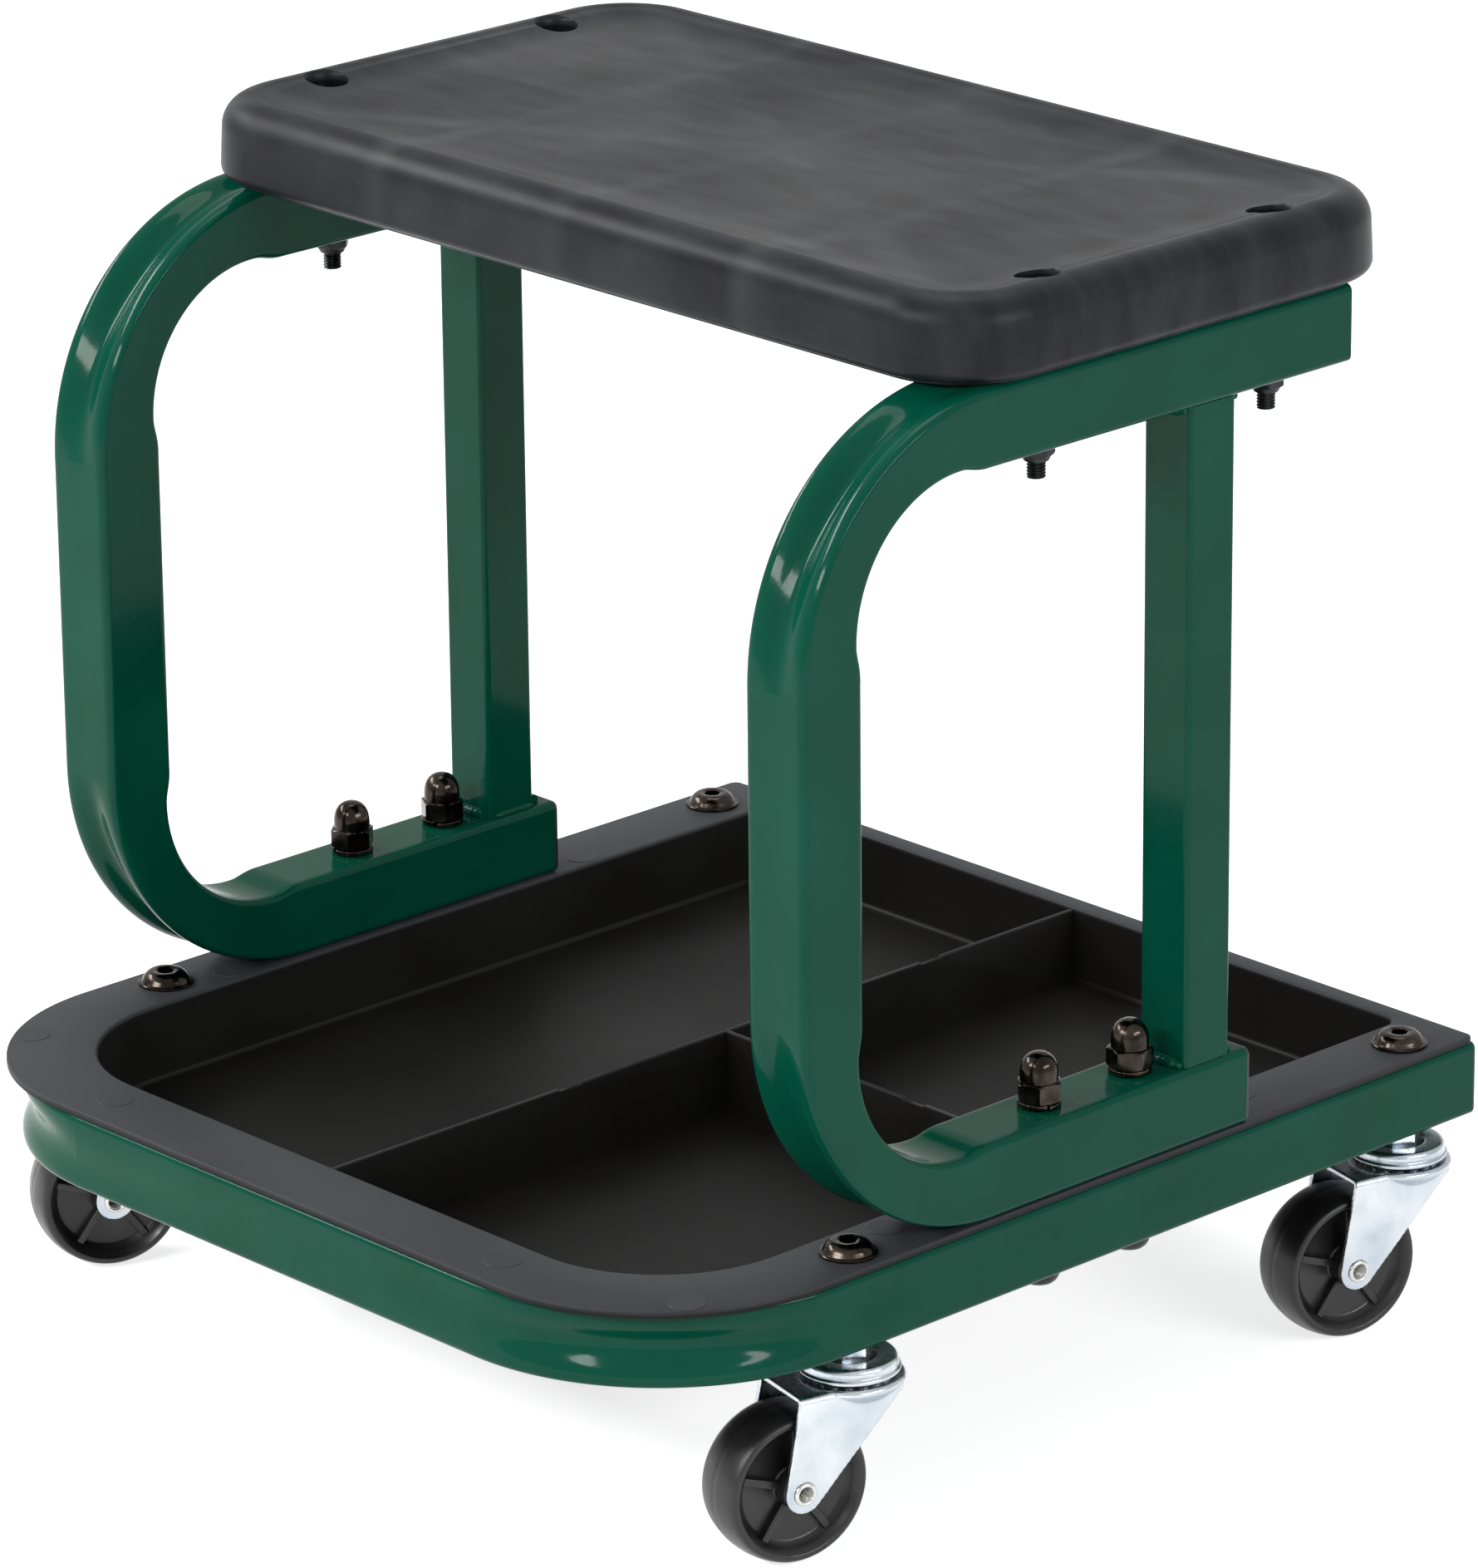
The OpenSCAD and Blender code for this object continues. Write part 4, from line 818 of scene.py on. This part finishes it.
bolt_head_r = 6.7 * MM
washer_width = 2.8 * MM
washer_t = 1.7 * MM
washer_ring = 5.5 * MM
washer_mid = 1 * MM
washer_spring = 0.4 * MM
washer_steps = 60
washer_arc = 352
cap_flats = 13 * MM
cap_hex = 6.5 * MM
cap_seat = 2.1 * MM
cap_turns = (8, 31, 17, 44)

low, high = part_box("frame_bolts")
bolt_places = [(x, y) for x in (low.x + bolt_head_r, high.x - bolt_head_r)
               for y in (low.y + bolt_head_r, high.y - bolt_head_r)]
bolt_rings = in_mm([
    (2.9, -6.4), (3.6, -6.4), (4.8, -5.9), (5.8, -5.0), (6.4, -3.9), (6.7, -2.6), (6.7, -0.4), (6.5, 0),
    (4, 0), (4, 60)])
heads = bmesh.new()
for x, y in bolt_places:
    turned(heads, bolt_rings, Matrix.Translation((x, y, rail_low.z)))
keep_piece("round_head_bolts", heads, black_zinc, "frame", ["frame_bolts"], 40)

leg_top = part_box("spring_washers")[0].z
washers = bmesh.new()
for index, (x, y) in enumerate(bolt_places):
    upright = Matrix.Rotation(math.pi / 2, 4, "X") @ Matrix.Diagonal((washer_width, washer_t, 1, 1))
    made = flat_sheet(washers, Matrix.Translation((x + washer_ring, y, leg_top + washer_mid)) @ upright)
    section = rounded(washers, made, 0.3 * MM, 3, "VERTICES")
    gap_turn = Matrix.Rotation(math.radians(-96 + 40 * index), 3, "Z")
    bmesh.ops.rotate(washers, verts=section, cent=(x, y, 0), matrix=gap_turn)
    bmesh.ops.spin(washers, geom=faces_at(section), cent=(x, y, 0), axis=(0, 0, 1),
        dvec=(0, 0, washer_spring / washer_steps), angle=math.radians(washer_arc), steps=washer_steps)
bmesh.ops.recalc_face_normals(washers, faces=washers.faces)
keep_piece("split_washers", washers, black_nickel, "frame", ["spring_washers"], 35)

dome = [
    (6.15, 6.45), (6.0, 6.5), (6.0, 9.0), (5.9, 10.3), (5.6, 11.6), (5.1, 12.8), (4.4, 13.8), (3.5, 14.6),
    (2.4, 15.2), (1.2, 15.53), (0.3, 15.6)]
cap_rings = [(4.3 * MM, 0)] + chamfered_hex(cap_flats, 0, cap_hex) + in_mm(dome)
caps = bmesh.new()
for (x, y), turn in zip(bolt_places, cap_turns):
    place = Matrix.Translation((x, y, leg_top + cap_seat)) @ Matrix.Rotation(math.radians(turn), 4, "Z")
    turned(caps, cap_rings, place, 60)
keep_piece("cap_nut_domes", caps, black_nickel, "frame", ["cap_nuts"], 35)

# The seat. A satin black plastic moulding with rounded corners, a shallow dish and an open, ribbed
# underside stands on the two upper legs. Four deep wells take the bolts that hold it.
seat_low, seat_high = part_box("seat")
seat_half = (seat_high - seat_low) / 2
seat_mid = Vector(((seat_low.x + seat_high.x) / 2, (seat_low.y + seat_high.y) / 2, seat_low.z + 1.5 * MM))
seat_corner = 33 * MM
seat_slant = math.atan2(seat_half.y, seat_half.x)
rib_pitch = 84 * MM
rib_row = 33 * MM
rib_t = 2.2 * MM
rib_low = 4 * MM
rib_high = 21 * MM
well_y = 50 * MM
well_floor = 6.8 * MM
sink_half = 9 * MM

seat_plastic = Finish("seat_plastic", "seat_plastic", (0.012, 0.012, 0.0135), 0, 0.42)
seat_plastic.sockets["Specular IOR Level"].default_value = 0.17


def sink_line(turn, offset):
    """1 on a line across the seat where a rib has drawn the face in a little, fading to 0 beside it."""
    line = seat_plastic.nodes.new("ShaderNodeMapping")
    line.vector_type = "TEXTURE"
    line.inputs["Location"].default_value = seat_mid + offset * Vector((-math.sin(turn), math.cos(turn), 0))
    line.inputs["Rotation"].default_value = (0, 0, turn)
    split = seat_plastic.nodes.new("ShaderNodeSeparateXYZ")
    away = seat_plastic.nodes.new("ShaderNodeMath")
    away.operation = "ABSOLUTE"
    fade = seat_plastic.nodes.new("ShaderNodeMapRange")
    fade.interpolation_type = "SMOOTHSTEP"
    fade.inputs["From Max"].default_value = sink_half
    fade.inputs["To Min"].default_value = 1
    fade.inputs["To Max"].default_value = 0
    seat_plastic.links.new(seat_plastic.place, line.inputs["Vector"])
    seat_plastic.links.new(line.outputs["Vector"], split.inputs["Vector"])
    seat_plastic.links.new(split.outputs["Y"], away.inputs[0])
    seat_plastic.links.new(away.outputs[0], fade.inputs["Value"])
    return fade.outputs["Result"]


def combine(kind, first, second):
    """One value from two, of which the second can be a number."""
    node = seat_plastic.nodes.new("ShaderNodeMath")
    node.operation = kind
    seat_plastic.links.new(first, node.inputs[0])
    if isinstance(second, float):
        node.inputs[1].default_value = second
    else:
        seat_plastic.links.new(second, node.inputs[1])
    return node.outputs[0]


haze = seat_plastic.speckle(11, 5)
scuff = seat_plastic.speckle(34, 6, (1, 3.2, 1))
grain = seat_plastic.speckle(2400, 3)
patches = seat_plastic.speckle(16, 3)
sinks = sink_line(seat_slant, 0)
for turn, offset in ((-seat_slant, 0), (0, 0), (math.pi / 2, -rib_pitch), (math.pi / 2, 0),
                     (math.pi / 2, rib_pitch)):
    sinks = combine("MAXIMUM", sinks, sink_line(turn, offset))
# The sink lines, in patches, are bumped in and are also painted lighter in the colour, a painted reflection
# along each line. The stretched scuff noise is added to that colour.
sinks_and_painted_sheen = combine("MULTIPLY", sinks, combine("POWER", patches, 3.0))
scuff_and_painted_sheen = combine("ADD", combine("MULTIPLY", sinks_and_painted_sheen, 1.5), scuff)
seat_plastic.tones(scuff_and_painted_sheen, 0.36, 0.95, (0.0068, 0.007, 0.0085), (0.034, 0.036, 0.041))
seat_plastic.roughness(haze, 0.32, 0.7, 0.34, 0.5)
seat_plastic.relief((grain, 0.03 * MM), (combine("MULTIPLY", sinks_and_painted_sheen, -2.0), 0.3 * MM))


def seat_out(place):
    """Outward direction at a point of the seat's outline, whose points all lie on its round corners."""
    x = abs(place.x) - (seat_half.x - seat_corner)
    y = abs(place.y) - (seat_half.y - seat_corner)
    return Vector((math.copysign(x, place.x), math.copysign(y, place.y), 0)).normalized()


def seat_loops(bm, steps, joined=False):
    """A shell through rounded rectangles of (inset, height) about the seat's middle."""
    made = flat_sheet(bm, Matrix.Diagonal((2 * seat_half.x, 2 * seat_half.y, 1, 1)))
    face = rounded(bm, made, seat_corner, 16, "VERTICES")[0].link_faces[0]
    first = loop = face.edges[:]
    bmesh.ops.delete(bm, geom=[face], context="FACES_ONLY")
    verts = []
    for inset, height in in_mm(steps):
        if verts:
            loop = next_ring(bm, loop)
        ring = verts_of(loop)
        for vert in ring:
            out = seat_out(vert.co)
            corner_x = math.copysign(seat_half.x - seat_corner, vert.co.x)
            corner_y = math.copysign(seat_half.y - seat_corner, vert.co.y)
            vert.co = Vector((corner_x, corner_y, height)) + out * (seat_corner - inset)
        verts += ring
    close_shell(bm, first, loop, verts, joined)
    bmesh.ops.translate(bm, verts=verts, vec=seat_mid)


def quarter_turn(steps):
    """The angles from 0 to 90 degrees in equal steps."""
    return [step * math.pi / 2 / steps for step in range(steps + 1)]


inner_steps = [(6, 20.4), (4.2, 20.1), (3.3, 19.2), (3, 18), (3, 1.2), (3.1, 0.5), (3.4, 0.1)]
lip_steps = [(3.6 - 3.6 * math.sin(turn), 3.6 - 3.6 * math.cos(turn)) for turn in quarter_turn(8)]
top_steps = [(10.6 - 10 * math.cos(turn), 16 + 10 * math.sin(turn)) for turn in quarter_turn(10)]
dish_steps = [(11.2, 25.97), (11.7, 25.86), (12.3, 25.7), (14, 25.42)]
dish_steps += [(inset, 23.4 + (30 - inset) ** 2 / 101) for inset in range(16, 31, 2)]
wall_steps = [(5.3, -1.5), (5, -1.2), (5, 21), (7.4, 21), (7.4, -1.2), (7.1, -1.5)]
flare_rings = in_mm([(8.6, 30), (8.3, 26.2), (7.7, 25.6), (7.2, 25), (6.9, 24.2), (6.8, 23), (6.8, 8)])
boss_rings = in_mm([
    (3.3, -1.5), (9.0, -1.5), (9.4, -1.1), (9.4, 21.4), (6.8, 22.8), (6.8, 7.2), (6.4, 6.8), (3.3, 6.8)])
wells = [Matrix.Translation(seat_mid + Vector((x * rail_x, y * well_y, 0)))
         for x in (-1, 1) for y in (-1, 1)]

shell = bmesh.new()
seat_loops(shell, inner_steps + lip_steps + [(0.25, 9)] + top_steps + dish_steps)
shell_piece = loose_object("seat_shell", shell)
cutter = bmesh.new()
for well in wells:
    turned(cutter, flare_rings, well, 64)
cutter_piece = loose_object("well_cutter", cutter)
cut = shell_piece.modifiers.new("wells", "BOOLEAN")
cut.object = cutter_piece
cut.solver = "EXACT"
seat = baked(shell_piece)
bpy.data.objects.remove(cutter_piece)
for well in wells:
    turned(seat, boss_rings, well, 64, joined=True)
seat_loops(seat, wall_steps, joined=True)
ribs = [(x * rib_pitch, 0, rib_t, 193 * MM) for x in (-1, 0, 1)]
ribs += [(0, y * rib_row, 352 * MM, rib_t) for y in (-1, 1)]
for x, y, length, width in ribs:
    place = Matrix.Translation(seat_mid + Vector((x, y, (rib_low + rib_high) / 2)))
    made = block(seat, place, (length, width, rib_high - rib_low))
    lower = [edge for edge in edges_at(made)
             if max(vert.co.z for vert in edge.verts) < seat_mid.z + rib_low + 0.1 * MM]
    rounded(seat, lower, 0.6 * MM, 3)
keep_piece("moulded_seat", seat, seat_plastic, "frame", ["seat"], 30)

# Seat bolts. Hexagon bolts of 6 mm lie in the wells and come out under the legs, where lock nuts with a
# flange hold them. All are black zinc.
seat_bolt_flats = 10 * MM
seat_bolt_head = 4 * MM
seat_bolt_end = -11.7 * MM
seat_bolt_turns = (12, 35, 50, 23)
thread_root = 2.5 * MM
thread_crest = 3 * MM
thread_pitch = 1 * MM
thread_top = 8 * MM


def flank(height):
    """Reach of the thread at a height, by the angle: a zigzag that climbs a pitch in every turn."""
    depth = thread_crest - thread_root
    return lambda angle: thread_root + depth * (
        1 - abs(2 * ((height / thread_pitch - angle / (2 * math.pi)) % 1) - 1))


def threaded(bm, low, high, place):
    """A threaded rod: rings at a sixth of the pitch between two rings that narrow its ends."""
    step = thread_pitch / 6
    heights = [low + index * step for index in range(round((high - low) / step) + 1)]
    rings = [(flank(height), height) for height in heights]
    turned(bm, [(thread_root * 0.8, low)] + rings + [(thread_root * 0.8, heights[-1])], place, 32)


lock_rings = in_mm([(3.1, 0), (6.4, 0), (6.55, -0.2), (6.5, -0.6), (5.4, -1.5)])
lock_rings += [(hexagon(seat_bolt_flats, 5.2 * MM), -1.8 * MM), (hexagon(seat_bolt_flats, 5.4 * MM), -2.1 * MM)]
lock_rings += [(hexagon(seat_bolt_flats), -2.6 * MM)]
lock_rings += [(hexagon(seat_bolt_flats, (4.85 + step) * MM), (-4.7 + step * chamfer_slope) * MM)
               for step in (0.9, 0.6, 0.3, 0)]
lock_rings += in_mm([(4.5, -4.9), (4.3, -5.6), (3.9, -6.3), (3.3, -6.5), (3.05, -6.4)])
seat_bolt_rings = [(2.9 * MM, -0.01 * MM)]
seat_bolt_rings += chamfered_hex(seat_bolt_flats, 0, seat_bolt_head, both_ends=False)
leg_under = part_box("seat_nuts")[1].z
bolts = bmesh.new()
locks = bmesh.new()
for well, turn in zip(wells, seat_bolt_turns):
    tilt = Matrix.Rotation(math.radians(turn), 4, "Z")
    under = Matrix.Translation((well.translation.x, well.translation.y, leg_under))
    turned(bolts, seat_bolt_rings, well @ Matrix.Translation((0, 0, well_floor)) @ tilt)
    threaded(bolts, seat_bolt_end, thread_top, under)
    turned(locks, lock_rings, under @ tilt)
keep_piece("seat_hex_bolts", bolts, black_zinc, "frame", ["seat_bolts"], 35)
keep_piece("lock_nuts", locks, black_zinc, "frame", ["seat_nuts"], 35)
